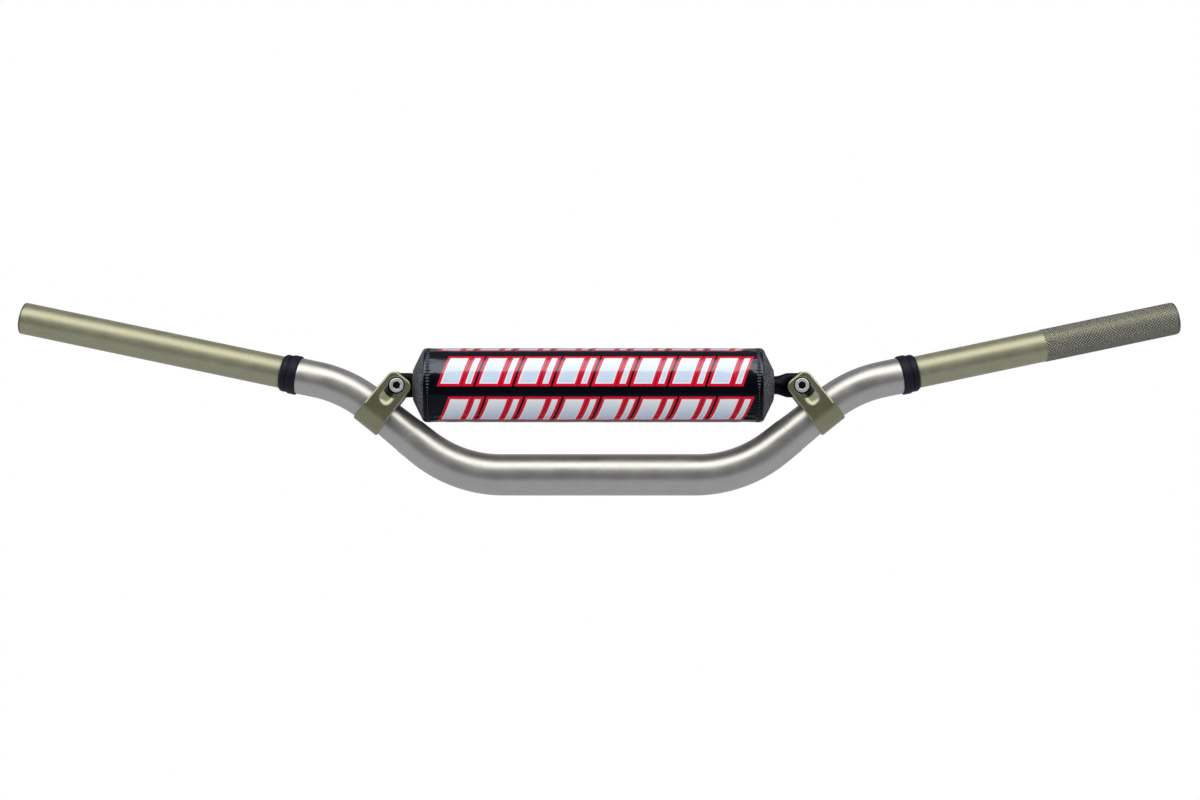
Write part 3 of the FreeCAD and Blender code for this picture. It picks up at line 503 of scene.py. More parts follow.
def vinyl_material(name, printed):
    tree = Shader(name)
    fine = tree.noise(scale=900)
    squeezed = tree.node("ShaderNodeMapping", {"Vector": tree.coords, "Scale": (38, 90, 90)})
    wave = tree.noise(scale=1.0, rough=0.55, vector=squeezed.outputs[0])
    smudge = tree.noise(scale=70, detail=4)
    colour = tree.mix(tree.ramp(smudge, (0.35, 0.7)),
                      (0.0012, 0.0013, 0.0034), (0.0024, 0.0026, 0.0062))
    rough = tree.add(tree.ramp(smudge, (0.3, 0.75), to=(0.055, 0.095)),
                     tree.ramp(fine, (0.3, 0.7), to=(-0.010, 0.015)))
    normal = tree.bump(wave, distance=0.00012, strength=0.5)
    normal = tree.bump(fine, distance=0.000006, after=normal)
    if printed:
        colour, red = print_colour(tree, colour)
        film = tree.mul(red, 1.0)  # the ink's height, as a share of the bump distance
        normal = tree.bump(film, distance=0.00003, after=normal)
    # the gloss is full on the upper side and dulled underneath
    upward = tree.separate(tree.normal())["Z"]
    gloss = tree.ramp(upward, (0.14, 0.32), to=(0.20, 1.0))
    return tree.finish(
        Base_Color=colour, Roughness=rough, Normal=normal,
        Specular_IOR_Level=tree.mul(gloss, 0.95), Specular_Tint=(0.72, 0.80, 1.0),
        Coat_Weight=tree.mul(gloss, 0.40), Coat_Roughness=0.03, Coat_IOR=1.5,
        Coat_Tint=(0.86, 0.90, 1.0))


# -------------------------------------------------------------------- textiles
def textile_material(name, dark, light, pitch, rough, sheen, speckle=0.0):
    """Woven cloth from two crossing waves, one up Z and one slanting across X and Y.

    pitch is the wavelength in mm.
    """
    tree = Shader(name)
    x, y, z = tree.separate()
    up = tree.sub(z, BAR_Z)
    wave_number = 2 * math.pi / (pitch * MM)
    upright = tree.math("SINE", tree.mul(up, wave_number))
    slanting = tree.math("SINE", tree.mul(tree.add(y, tree.mul(x, 0.6)), wave_number))
    weave = tree.mul(upright, slanting)
    fibre = tree.noise(scale=2200, detail=4, rough=0.7)
    cloud = tree.noise(scale=130)
    height = tree.add(tree.mul(weave, 0.5), tree.mul(fibre, 0.7))
    colour = tree.mix(tree.ramp(weave, (-1, 1)), dark, light)
    colour = tree.mix(tree.ramp(cloud, (0.4, 0.75), to=(0, 0.35)), colour, tinted(light, 1.5))
    if speckle:
        fleck = tree.noise(scale=620, rough=0.7)
        for limit, fleck_colour in ((0.64, tinted(light, 1.6)), (0.38, tinted(dark, 0.5))):
            amount = tree.ramp(fleck, (0.50, limit), to=(0, speckle))
            colour = tree.mix(amount, colour, fleck_colour)
    return tree.finish(Base_Color=colour, Roughness=rough,
                       Normal=tree.bump(height, distance=0.00022), Sheen_Weight=sheen,
                       Sheen_Roughness=0.5, Specular_IOR_Level=0.35)


def thread_material():
    tree = Shader("black_thread")
    waves = {"Vector": tree.coords, "Scale": 900.0, "Distortion": 0.5}
    twist = tree.node("ShaderNodeTexWave", waves, wave_type="BANDS",
                      bands_direction="DIAGONAL").outputs["Fac"]
    fuzz = tree.noise(scale=3000)
    return tree.finish(
        Base_Color=tree.mix(twist, (0.045, 0.045, 0.054), (0.115, 0.115, 0.135)),
        Roughness=tree.ramp(fuzz, (0.3, 0.7), to=(0.28, 0.45)),
        Normal=tree.bump(tree.add(twist, fuzz), distance=0.00006), Specular_IOR_Level=0.6)


# ------------------------------------------------------------ the set of materials
titanium = satin_metal(
    "titanium_satin", colour=(0.70, 0.695, 0.68), dark=(0.63, 0.625, 0.62), rough=0.36,
    metallic=0.90, grain=2100, grain_depth=0.000022)
gold = satin_metal(
    "gold_satin", colour=(0.490, 0.482, 0.345), dark=(0.43, 0.424, 0.302), rough=0.37,
    metallic=0.68, grain=1500, grain_depth=0.000026, blotch=85, extra=shaded_tube_ends)
olive = satin_metal(
    "olive_satin", colour=(0.395, 0.395, 0.255), dark=(0.345, 0.345, 0.220), rough=0.27,
    metallic=0.80, grain=2300, grain_depth=0.000016,
    edge=(0.22, (0.66, 0.65, 0.48), 0.0005), extra=clamp_painted_light)
black_bar = satin_metal(
    "black_anodised_satin", colour=(0.016, 0.016, 0.019), dark=(0.010, 0.010, 0.013),
    rough=0.36, metallic=1.0, grain=2400, grain_depth=0.000016,
    edge=(0.4, (0.05, 0.05, 0.06), 0.0004))
zinc = satin_metal(
    "bright_zinc_plate", colour=(0.74, 0.75, 0.78), dark=(0.62, 0.63, 0.67), rough=0.26,
    metallic=0.42, grain=3000, grain_depth=0.000008, blotch=240,
    edge=(0.6, (0.97, 0.97, 0.99), 0.0004), extra=socket_painted_shade)
knurl_gold = knurl_material()
rubber = rubber_material()
nylon = nylon_material()
foam = foam_material()
vinyl = vinyl_material("vinyl_printed", printed=True)
vinyl_plain = vinyl_material("vinyl_plain", printed=False)
cap_cloth = textile_material(
    "cap_textile", dark=(0.010, 0.011, 0.015), light=(0.090, 0.094, 0.116), pitch=1.5,
    rough=0.72, sheen=0.10, speckle=0.8)
tape_cloth = textile_material(
    "tape_textile", dark=(0.008, 0.008, 0.009), light=(0.026, 0.026, 0.028), pitch=0.9,
    rough=0.85, sheen=0.15)
thread = thread_material()


def paint_cad_pieces():
    sided = (
        (olive, ("clamp",)),
        (zinc, ("clamp_bolt", "bolt_washer", "clamp_nut")),
        (rubber, ("collar",)),
        (nylon, ("bush_front", "bush_rear")),
    )
    pieces = [(material, f"{name}_{side}") for material, names in sided
              for name in names for side in ("left", "right")]
    pieces += [(black_bar, "crossbar"), (titanium, "outer_tube"), (gold, "inner_tube")]
    for material, name in pieces:
        for slot in NODES[name].material_slots:
            slot.material = material


# ----------------------------------------------------------------------- tubes
def half_centreline():
    """Stations of the right half up to the end of the sweep: (point, heading, stretch, place).

    place is a fraction of the bend, and a length or angle along the other stretches.
    """
    stations = []
    for x in np.linspace(0, CENTRE_HALF, 12):
        stations.append((np.array([x, 0, 0]), np.array([1.0, 0, 0]), "middle", x))
    for angle in np.linspace(0, BEND_ANGLE, 25)[1:]:
        heading = np.array([math.cos(angle), 0, math.sin(angle)])
        stations.append((bend_point(angle), heading, "bend", angle / BEND_ANGLE))
    even = np.linspace(0, RISE_LENGTH - TANGENT, 14)[1:]
    for s in sorted([*even, 12.55, 12.85, STEP_AT, 13.02, 13.3, TAPER_END]):
        stations.append((BEND_END + RISE * s, RISE, "rise", s))
    for angle in np.linspace(0, TURN, 17)[1:]:
        offset = SIDE * (1 - math.cos(angle)) + RISE * math.sin(angle)
        heading = RISE * math.cos(angle) + SIDE * math.sin(angle)
        stations.append((SWEEP_START + offset * SWEEP_RADIUS, heading, "sweep", angle))
    return stations


def outer_radius(stretch, place):
    """Outer tube's radius: it narrows through the bend, steps down and tapers on the rise."""
    if stretch == "middle":
        return OUTER_MIDDLE
    if stretch == "bend":
        return OUTER_MIDDLE - (OUTER_MIDDLE - OUTER_BEND_END) * place
    if stretch != "rise" or place > TAPER_END:
        return OUTER_END
    if place <= 12.56:
        return OUTER_BEND_END - 0.2 * place / STEP_AT
    for limit, radius in ((12.86, 13.27), (13.01, 13.10), (13.03, 13.02)):
        if place <= limit:
            return radius
    taper_radius = 13.05
    done = (place - STEP_AT) / (TAPER_END - STEP_AT)
    return taper_radius - (taper_radius - OUTER_END) * done


def swept(half, segments):
    """Mirrors the half centreline; gives (point, unit normals, heading) without twist."""
    stations = [(point * (-1, 1, 1), heading * (1, -1, -1))
                for point, heading, _, _ in reversed(half[1:])]
    stations += [(point, heading) for point, heading, _, _ in half]
    # carried outwards from the middle both ways, so the two sides mirror each other
    middle = len(half) - 1
    normals = [None] * len(stations)
    for order in (range(middle, len(stations)), range(middle, -1, -1)):
        normal = np.array([0.0, -1.0, 0.0])
        for i in order:
            heading = stations[i][1]
            normal = normal - heading * float(normal @ heading)
            normal /= np.linalg.norm(normal)
            normals[i] = normal
    angle = np.linspace(0, 2 * math.pi, segments, endpoint=False)[:, None]
    return [(point, np.cos(angle) * normal + np.sin(angle) * np.cross(heading, normal), heading)
            for (point, heading), normal in zip(stations, normals)]


def tube(name, half, radii, bore, segments, end_round):
    """Hollow tube with rounded ends. radii go outwards from the middle station."""
    rings = swept(half, segments)
    middle = len(half) - 1
    radii = [radii[abs(i - middle)] for i in range(len(rings))]
    outside = [point + normals * radius for (point, normals, _), radius in zip(rings, radii)]
    inside = [point + normals * bore for point, normals, _ in rings]

    def lip(i, sign):
        point, normals, heading = rings[i]
        beyond = heading * sign * end_round
        steps = []
        for k in range(1, 5):
            angle = math.pi / 2 * k / 5
            radius = radii[i] - end_round * (1 - math.cos(angle))
            steps.append(point + beyond * math.sin(angle) + normals * radius)
        steps.append(point + beyond + normals * (radii[i] - end_round))
        steps.append(point + beyond + normals * (bore + end_round * 0.6))
        steps.append(point + beyond * 0.4 + normals * bore)
        return steps

    profile = outside + lip(-1, 1) + inside[::-1] + lip(0, -1)[::-1]
    return ring_skin(name, np.array(profile) * MM)


def grip_stations(places):
    return [(CORNER + GRIP * s, GRIP, "grip", s) for s in places]


def outer_tube(centreline):
    end_round = 0.35
    half = centreline + grip_stations(np.linspace(TANGENT, SLEEVE - end_round, 6)[1:])
    radii = [outer_radius(stretch, place) for _, _, stretch, place in half]
    skin = tube("outer_tube_skin", half, radii, bore=11.25, segments=96, end_round=end_round)
    dress(skin, titanium, "bar", "outer_tube")


def inner_tube(centreline):
    """Inner tube, with a narrow groove where the bare grip starts outside the collar."""
    start, end_round = SLEEVE + COLLAR + COLLAR_GAP, 0.7
    places = [TANGENT + 5, SLEEVE, start - 0.8, start - 0.79, start - 0.01, start]
    places += list(np.linspace(start + 2, GRIP_LENGTH - end_round, 26))
    half = centreline + grip_stations(places)

    def radius(stretch, place):
        if stretch != "grip" or place < start - 0.795:
            return 11.05
        return 10.8 if place < start - 0.005 else 11.1

    radii = [radius(stretch, place) for _, _, stretch, place in half]
    skin = tube("inner_tube_skin", half, radii, bore=9.0, segments=80, end_round=end_round)
    dress(skin, gold, "bar", "inner_tube")


def grip_knurl():
    """Pyramids between crossing V grooves, on a thin sleeve round the right grip's end."""
    starts, step = 34, 1.12
    low_radius, inner_radius = KNURL_LOW + 0.02, 10.6
    end_drop, last_top_drop = 0.30, 0.1
    rows = int(KNURL_LENGTH / step) // 2 * 2
    base = TIP - GRIP * KNURL_LENGTH
    level = np.cross(GRIP, np.array([0, 0, 1.0]))
    level /= np.linalg.norm(level)
    steep = np.cross(GRIP, level)
    places = [min(k * step, KNURL_LENGTH - 0.62) for k in range(rows + 1)]
    vertices, low, top, inner = [], {}, {}, {}

    def add(group, k, j, turn, radius):
        """Adds vertex j of row k, at a turn counted in starts."""
        angle = turn * 2 * math.pi / starts
        outward = level * math.cos(angle) + steep * math.sin(angle)
        group[k, j] = len(vertices)
        vertices.append((base + GRIP * places[k] + outward * radius) * MM)

    for k in range(rows + 1):
        for j in range(starts):
            drop = end_drop if k == rows else 0.0
            add(low, k, j, j + (k % 2) / 2, low_radius - drop)
    for k in range(1, rows):
        for j in range(starts):
            drop = last_top_drop if k == rows - 1 else 0.0
            add(top, k, j, j + 0.5 + (k % 2) / 2, KNURL_HIGH - drop)
    faces = []
    for k in range(1, rows):
        for j in range(starts):
            peak = top[k, j]
            left, right = low[k, j], low[k, (j + 1) % starts]
            beside = (j + k % 2) % starts
            before, after = low[k - 1, beside], low[k + 1, beside]
            faces += [(peak, left, before), (peak, before, right),
                      (peak, right, after), (peak, after, left)]
    for k, neighbour in ((0, 1), (rows, rows - 1)):
        for j in range(starts):
            faces.append((low[k, j], low[k, (j + 1) % starts], low[neighbour, j]))
    for k in (0, rows):
        for j in range(starts):
            add(inner, k, j, j, inner_radius)
    for j in range(starts):
        q = (j + 1) % starts
        faces.append((low[0, j], low[0, q], inner[0, q], inner[0, j]))
        faces.append((low[rows, j], low[rows, q], inner[rows, q], inner[rows, j]))
        faces.append((inner[0, j], inner[0, q], inner[rows, q], inner[rows, j]))
    skin = add_mesh("grip_knurl", vertices, faces, smooth=False)
    dress(skin, knurl_gold, "bar")


# ----------------------------------------------------------------- cloth helpers
def relax(name, sheet, pinned, pressure, shrink, wrap, tension, bending):
    """Runs Blender's cloth on sheet[u, v]; returns how far each point moved, limited."""
    frames, scale = 20, 10  # the solver is tuned for cloth ten times this size
    rows, columns = sheet.shape[:2]
    index = np.arange(rows * columns).reshape(rows, columns)
    mesh = bpy.data.meshes.new(name)
    vertices = [tuple(point) for point in (sheet * scale).reshape(-1, 3)]
    mesh.from_pydata(vertices, [], grid_quads(index, wrap_columns=wrap))
    edit = bmesh.new()
    edit.from_mesh(mesh)
    bmesh.ops.recalc_face_normals(edit, faces=edit.faces)
    edit.to_mesh(mesh)
    edit.free()
    ob = bpy.data.objects.new(name, mesh)
    scene.collection.objects.link(ob)
    group = ob.vertex_groups.new(name="pin")
    for number, weight in enumerate(pinned.ravel()):
        if weight > 0:
            group.add([number], float(weight), "REPLACE")
    cloth = ob.modifiers.new("Cloth", "CLOTH")
    settings = cloth.settings
    settings.quality = 6
    settings.mass = 0.3
    settings.tension_stiffness = settings.compression_stiffness = tension
    settings.shear_stiffness = tension * 0.4
    settings.bending_stiffness = bending
    settings.air_damping = 2.0
    settings.vertex_group_mass = "pin"
    settings.pin_stiffness = 1.0
    settings.shrink_min = -shrink
    settings.use_pressure = True
    settings.uniform_pressure_force = pressure
    settings.effector_weights.gravity = 0.0
    cloth.collision_settings.use_collision = False
    cloth.collision_settings.use_self_collision = False
    cloth.point_cache.frame_start, cloth.point_cache.frame_end = 1, frames
    for frame in range(1, frames + 1):
        scene.frame_set(frame)
    evaluated = ob.evaluated_get(bpy.context.evaluated_depsgraph_get())
    settled = np.empty(rows * columns * 3, np.float32)
    evaluated.data.vertices.foreach_get("co", settled)
    move = settled.reshape(rows, columns, 3).astype(float) / scale - sheet
    distance = np.linalg.norm(move, axis=2, keepdims=True)
    move *= np.minimum(1.0, MOVE_LIMIT / np.maximum(distance, 1e-12))
    bpy.data.objects.remove(ob)
    scene.frame_set(1)
    return move


def sample(field, u, v, wrap):
    """Bilinear value of field[u, v] at fractions u, v of its two directions."""
    rows, columns = field.shape[:2]
    row = np.clip(u, 0, 1) * (rows - 1)
    column = (v % 1.0) * columns if wrap else np.clip(v, 0, 1) * (columns - 1)
    i = np.minimum(np.floor(row).astype(int), rows - 2)
    j = np.floor(column).astype(int)
    fu, fv = (row - i)[..., None], (column - j)[..., None]
    j0, j1 = (k % columns if wrap else np.minimum(k, columns - 1) for k in (j, j + 1))
    return (field[i, j0] * (1 - fu) * (1 - fv) + field[i + 1, j0] * fu * (1 - fv)
            + field[i, j1] * (1 - fu) * fv + field[i + 1, j1] * fu * fv)


def pad_point(x, angle, radius):
    """Points round the crossbar's axis, in metres; the angle is 0 at the front, up positive."""
    x, angle, radius = np.broadcast_arrays(x, angle, radius)
    return np.stack([x, -radius * np.cos(angle), BAR_Z + radius * np.sin(angle)], axis=-1)


def waviness(seed, x, angle):
    """Smooth, repeatable waviness over the pad, about +-1."""
    random = np.random.default_rng(seed)
    total = 0
    for _ in range(9):
        per_length, per_turn = random.uniform(8, 60), random.integers(1, 6)
        phase, height = random.uniform(0, 6.28), random.uniform(0.3, 1)
        wave = np.sin(per_length * x * 2 * math.pi / 0.5 + per_turn * angle + phase)
        total = total + height * wave
    return total / 4.5


# ------------------------------------------------------------------- pad cover
# stations in from either end of the cover, in mm
COVER_END_STATIONS = np.array([
    0, 0.25, 0.55, 0.9, 1.3, 1.7, 2.1, 2.45, 2.75, 3.0,
    3.25, 3.55, 3.9, 4.4, 5.0, 5.8, 6.8, 8.0,
])
# hem profile: (distance from the end, height above the cover), in mm
COVER_HEM = np.array([
    (0, -0.42), (0.25, -0.16), (0.55, -0.05), (0.9, 0.0), (1.5, 0.03), (2.2, -0.01),
    (2.7, -0.14), (3.0, -0.24), (3.3, -0.14), (3.9, -0.01), (4.8, 0.0), (6.5, 0.0),
])


def relaxed_cover():
    rows, columns = 60, 76
    x = np.linspace(0, 1, rows)[:, None] * (PAD_RIGHT - PAD_LEFT) + PAD_LEFT
    first, last = COVER_ANGLES
    angle = (first + (last - first) * np.linspace(0, 1, columns))[None, :]
    pins = np.zeros((rows, columns))
    pins[:2, :] = pins[-2:, :] = 1
    pins[:, :1] = pins[:, -1:] = 1
    return relax("cover_sim", pad_point(x, angle, PAD_RADIUS - 0.25 * MM), pins,
                 pressure=4.0, shrink=0.004, wrap=False, tension=25.0, bending=0.5)


def cover_radius(x, angle):
    """Outside radius at x from the cover's left end, with hem, puckers and waves."""
    length = PAD_RIGHT - PAD_LEFT
    first, last = COVER_ANGLES
    from_end = np.minimum(x, length - x) / MM
    hem = np.interp(from_end, COVER_HEM[:, 0], COVER_HEM[:, 1])
    at_seam = np.exp(-((from_end - SEAM_MM) / 1.1) ** 2)
    pucker = at_seam * 0.23 * np.cos(angle * RIM_STITCHES)
    creases = np.sin(angle * 23 + 1.3) + 0.6 * np.sin(angle * 37 + 4)
    pull = np.exp(-((from_end - 4.6) / 2.6) ** 2) * 0.05 * creases
    wavy = 0.10 * waviness(11, x, angle) * smoothstep(3, 30, from_end)
    move = sample(relaxed_cover(), x / length, (angle - first) / (last - first), wrap=False)
    radial = -move[..., 1] * np.cos(angle) + move[..., 2] * np.sin(angle)
    settled = 0.35 * (radial - radial.mean()) * smoothstep(2, 12, from_end)
    return PAD_RADIUS + (hem + pucker + pull + wavy) * MM - 0.12 * MM + settled


def open_skin(name, outer, inner, sharp):
    """Skin of a sheet whose outside and inside have different numbers of rows.

    The long edges are strips of triangles.
    """
    outer_rows, inner_rows, columns = len(outer), len(inner), outer.shape[1]
    index = np.arange((outer_rows + inner_rows) * columns).reshape(-1, columns)
    out, back = index[:outer_rows], index[outer_rows:]
    faces = grid_quads(out) + grid_quads(back)
    for end in (0, -1):
        faces += grid_quads(np.stack([out[end], back[end]]))
    for v in (0, columns - 1):
        i = j = 0
        while i < outer_rows - 1 or j < inner_rows - 1:
            if j == inner_rows - 1 or (
                i < outer_rows - 1 and outer[i + 1, v, 0] <= inner[j + 1, v, 0]
            ):
                faces.append((int(out[i, v]), int(out[i + 1, v]), int(back[j, v])))
                i += 1
            else:
                faces.append((int(out[i, v]), int(back[j + 1, v]), int(back[j, v])))
                j += 1
    vertices = np.concatenate([outer.reshape(-1, 3), inner.reshape(-1, 3)])
    return add_mesh(name, vertices, faces, sharp=sharp)


def pad_cover():
    wall = 1.75 * MM
    length = (PAD_RIGHT - PAD_LEFT) / MM
    ends = COVER_END_STATIONS
    outer_x = np.concatenate([ends, np.linspace(10, length - 10, 74), (length - ends)[::-1]])
    inner_x = np.array([0.4, 3, 8, *np.linspace(14, length - 14, 20),
                        length - 8, length - 3, length - 0.4])
    angles = np.linspace(*COVER_ANGLES, 593)
    x, angle = np.meshgrid(outer_x * MM, angles, indexing="ij")
    outer = pad_point(PAD_LEFT + x, angle, cover_radius(x, angle))
    x, angle = np.meshgrid(inner_x * MM, angles, indexing="ij")
    inner = pad_point(PAD_LEFT + x, angle, PAD_RADIUS - wall)
    skin = open_skin("pad_cover_skin", outer, inner, sharp=50)
    dress(skin, vinyl, "pad_sleeve", "pad_cover")


# -------------------------------------------------------------------- end caps
def pull_in(points, depth):
    """Moves points towards the crossbar's axis."""
    y, z = points[..., 1], points[..., 2] - BAR_Z
    radius = np.sqrt(y ** 2 + z ** 2)
    scale = (radius - depth) / radius
    points[..., 1] = y * scale
    points[..., 2] = BAR_Z + z * scale


def end_cap(side, seed):
    """Cone of gathered cloth from the cover's rim in to the crossbar."""
    low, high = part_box(f"pad_end_cap_{side}")
    rim_x, tip_x, outward = (high.x, low.x, -1) if side == "left" else (low.x, high.x, 1)
    rim_radius, hole_radius = 25.15 * MM, 8.85 * MM
    inset = 1.5 * MM * 0.55  # inside surface, along x
    rim_wall = 0.9 * MM  # inside surface, radially, over the outer half
    rows, columns = 12, 96
    fine_rows, fine_columns = 44, 384

    def cone(u, angle):
        radius = rim_radius + (hole_radius - rim_radius) * u
        return pad_point(rim_x + (tip_x - rim_x) * u, angle, radius)

    u = np.linspace(0, 1, rows)[:, None]
    angle = np.linspace(0, 2 * math.pi, columns, endpoint=False)[None, :]
    # a seeded ripple for the puckers to grow from
    random = np.random.default_rng(seed)
    waves = sum(random.uniform(0.3, 1) * np.cos(k * angle + random.uniform(0, 6.28))
                for k in (7, 11, 13, 17, 22))
    ripple = np.zeros((rows, columns, 3))
    ripple[..., 0] = outward * (0.10 * MM * np.sin(math.pi * u) * waves)
    pins = np.zeros((rows, columns))
    pins[0, :] = pins[-1, :] = 1
    moved = relax(f"cap_sim_{side}", cone(u, angle) + ripple, pins, pressure=0.5,
                  shrink=0.025, wrap=True, tension=18.0, bending=0.3)

    u, angle = np.meshgrid(np.linspace(0, 1, fine_rows),
                           np.linspace(0, 2 * math.pi, fine_columns, endpoint=False),
                           indexing="ij")
    turn = angle / (2 * math.pi)
    shift = sample(moved, u, turn, wrap=True) + sample(ripple, u, turn, wrap=True)
    outer = cone(u, angle) + shift
    # gathered folds fade from the rim, over a low ridge beside it
    folds = np.exp(-u / 0.16) * 0.16 * np.cos(angle * 41)
    ridge = np.exp(-(((u - 0.06) / 0.05) ** 2)) * 0.06
    outer[..., 0] += outward * (folds + ridge) * MM
    inner = cone(u[::4], angle[::4])
    inner[..., 0] -= outward * inset
    pull_in(inner, np.where(u[::4] < 0.5, rim_wall, 0.0))
    lip = outer[-1].copy()  # rounds the opening
    lip[..., 0] += outward * 0.1 * MM
    pull_in(lip, 0.25 * MM)
    points = np.concatenate([outer, lip[None], inner[::-1]], axis=0)
    skin = ring_skin(f"pad_end_cap_{side}_skin", points, sharp=60)
    dress(skin, cap_cloth, "pad_sleeve", f"pad_end_cap_{side}")


# -------------------------------------------------------------------- stitching
def stitch(x, angle, radius, length, lengthwise=False):
    """One stitch on the pad: (middle, direction, outward, length)."""
    outward = np.array([0, -math.cos(angle), math.sin(angle)])
    around = np.array([0, math.sin(angle), math.cos(angle)])
    direction = np.array([1.0, 0, 0]) if lengthwise else around
    return np.array([x, 0, BAR_Z]) + outward * radius, direction, outward, length


def stitches(name, run):
    """Arched, rounded thread segments, one for each stitch in the run."""
    thread_radius, arch_height = 0.21 * MM, 0.16 * MM
    sides, rings = 8, 7
    vertices, faces = [], []
    for middle, direction, outward, length in run:
        sideways = np.cross(direction, outward)
        start = len(vertices)
        for i in range(rings):
            t = i / (rings - 1)
            arch = (1 - (2 * t - 1) ** 2) * arch_height
            radius = thread_radius * math.sqrt(max(0.02, 1 - abs(2 * t - 1) ** 4))
            centre = middle + direction * (t - 0.5) * length + outward * arch
            for k in range(sides):
                angle = 2 * math.pi * k / sides
                spoke = outward * math.cos(angle) + sideways * math.sin(angle)
                vertices.append(centre + spoke * radius)
        index = start + np.arange(rings * sides).reshape(rings, sides)
        faces += grid_quads(index, wrap_columns=True)
        faces += [index[0].tolist(), index[-1].tolist()]
    skin = add_mesh(name, vertices, faces, sharp=80)
    dress(skin, thread, "pad_sleeve")


def rim_stitching(side, x):
    # the two spaces nearest the front are left empty
    stitches(f"stitching_{side}", [
        stitch(x, (k + 0.5) * 2 * math.pi / RIM_STITCHES, PAD_RADIUS - 0.20 * MM, 1.45 * MM)
        for k in range(1, RIM_STITCHES - 1)])


# ------------------------------------------------- flap and its fastener strips
def curved_sheet(piece, ends, first, last, radius, thick, rows, columns, material,
                 lift=0.0, wave=0.0, seed=5):
    """Thin sheet on the pad's rear between x ends and two angles from the rear centre line.

    Sizes are in mm; lift is how far the sheet steps outwards near its first edge.
    """
    edge_round, edge_radius = 0.3, 27
    x, t = np.meshgrid(np.linspace(*ends, rows), np.linspace(0, 1, columns), indexing="ij")
    angle = math.pi + (first + (last - first) * t)
    from_edge = np.minimum(np.minimum(t, 1 - t) * (last - first) * edge_radius,
                           np.minimum(x - ends[0], ends[1] - x) / MM)
    inset = np.clip(from_edge / edge_round, 0, 1)
    rounded = np.sqrt(np.clip(1 - (1 - inset) ** 2, 0, 1))
    half = thick * MM / 2 * (0.25 + 0.75 * rounded)
    middle = (radius + lift * smoothstep(0.03, 0.2, t)) * MM
    middle = middle + wave * MM * waviness(seed, x, angle * 3)
    outer = pad_point(x, angle, middle + half)
    inner = pad_point(x, angle, middle - half)
    points = np.concatenate([outer, inner[::-1]], axis=0)
    skin = ring_skin(f"{piece}_skin", points, closed=False, sharp=70)
    dress(skin, material, "pad_sleeve", piece)


def x_ends(piece):
    return [corner.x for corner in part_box(piece)]


def flap_and_strips():
    flap_ends, strip_ends = x_ends("pad_flap"), x_ends("pad_hook_strip")
    curved_sheet("pad_flap", flap_ends, -FLAP_HALF - FLAP_TAIL, FLAP_HALF, radius=26.35,
                 lift=1.36, thick=1.05, rows=150, columns=44, material=vinyl_plain,
                 wave=0.07, seed=21)
    for piece, radius, thick in (("pad_hook_strip", 26.79, 0.66),
                                 ("pad_loop_strip", 26.08, 0.6)):
        curved_sheet(piece, strip_ends, -STRIP_HALF, STRIP_HALF, radius, thick, rows=90,
                     columns=30, material=tape_cloth)
    flap_stitching(*flap_ends)


def flap_stitching(left, right):
    """Rows along the flap's two long edges, then one across each end."""
    raised, length, pitch = 28.22 * MM, 1.7 * MM, 2.6 * MM
    margin, end_inset = 0.003, 0.0028
    end_count = 9
    run_length = right - left - 2 * margin
    count = int(run_length / pitch)
    long_rows = (  # angle, radius
        (math.pi + FLAP_HALF - 0.10, raised),
        (math.pi - FLAP_HALF - FLAP_TAIL + 0.09, 27.05 * MM),
    )
    run = [stitch(left + margin + (k + 0.5) * run_length / count, angle, radius - 0.02 * MM,
                  length, lengthwise=True)
           for angle, radius in long_rows for k in range(count)]
    for x in (left + end_inset, right - end_inset):
        for k in range(end_count):
            turn = (k + 0.5) * (2 * FLAP_HALF - 0.28) / end_count
            run.append(stitch(x, math.pi - FLAP_HALF + 0.16 + turn, raised, length))
    stitches("flap_stitching", run)


# -------------------------------------------------------------------- foam core
def foam_core():
    """Foam cylinder, slit along the rear, with rounded outer ends."""
    left, right = x_ends("pad_foam_core")
    outer_radius_mm, inner_radius_mm, slit_half = 23.8, 6.45, 0.5
    end_round, end_drop = 1.6, 1.2
    length = (right - left) / MM
    ends = np.array([0, 0.3, 0.8, end_round])
    x = np.concatenate([ends, np.linspace(4, length - 4, 30), (length - ends)[::-1]]) * MM
    x = x[:, None]

    def angles(radius):
        slit = math.asin(slit_half / radius)
        return np.linspace(math.pi + slit - 2 * math.pi, math.pi - slit, 120)[None, :]

    from_end = np.minimum(x, right - left - x) / MM
    inset = np.minimum(from_end / end_round, 1)
    drop = end_drop * (1 - np.sqrt(np.maximum(0.0, 1 - (1 - inset) ** 2)))
    angle = angles(outer_radius_mm)
    uneven = 0.03 * MM * (1 + waviness(31, left + x, angle))
    outer = pad_point(left + x, angle, (outer_radius_mm - drop) * MM - uneven)
    inner = pad_point(left + x, angles(inner_radius_mm), inner_radius_mm * MM)
    points = np.concatenate([outer, inner[::-1]], axis=0)
    skin = ring_skin("pad_foam_core_skin", points, closed=False, sharp=60)
    dress(skin, foam, "pad_core", "pad_foam_core")


# ------------------------------------------------------------- floor and light
def floor_material():
    """White to the camera; a dimmer glow to other rays, a little stronger to diffuse ones."""
    glow_strength, diffuse_extra = 0.45, 0.30
    material = bpy.data.materials.new("pale_floor")
    nodes = Nodes(material)
    path = nodes.node("ShaderNodeLightPath").outputs
    seen = nodes.node("ShaderNodeEmission", {0: (1, 1, 1), 1: 1.0})
    strength = nodes.math("MULTIPLY_ADD", path["Is Diffuse Ray"], diffuse_extra, glow_strength)
    glow = nodes.node("ShaderNodeEmission", {0: (0.97, 0.98, 1.0), 1: strength})
    either = nodes.node("ShaderNodeMixShader", {
        0: path["Is Camera Ray"], 1: glow.outputs[0], 2: seen.outputs[0]})
    nodes.node("ShaderNodeOutputMaterial", {0: either.outputs[0]})
    return material


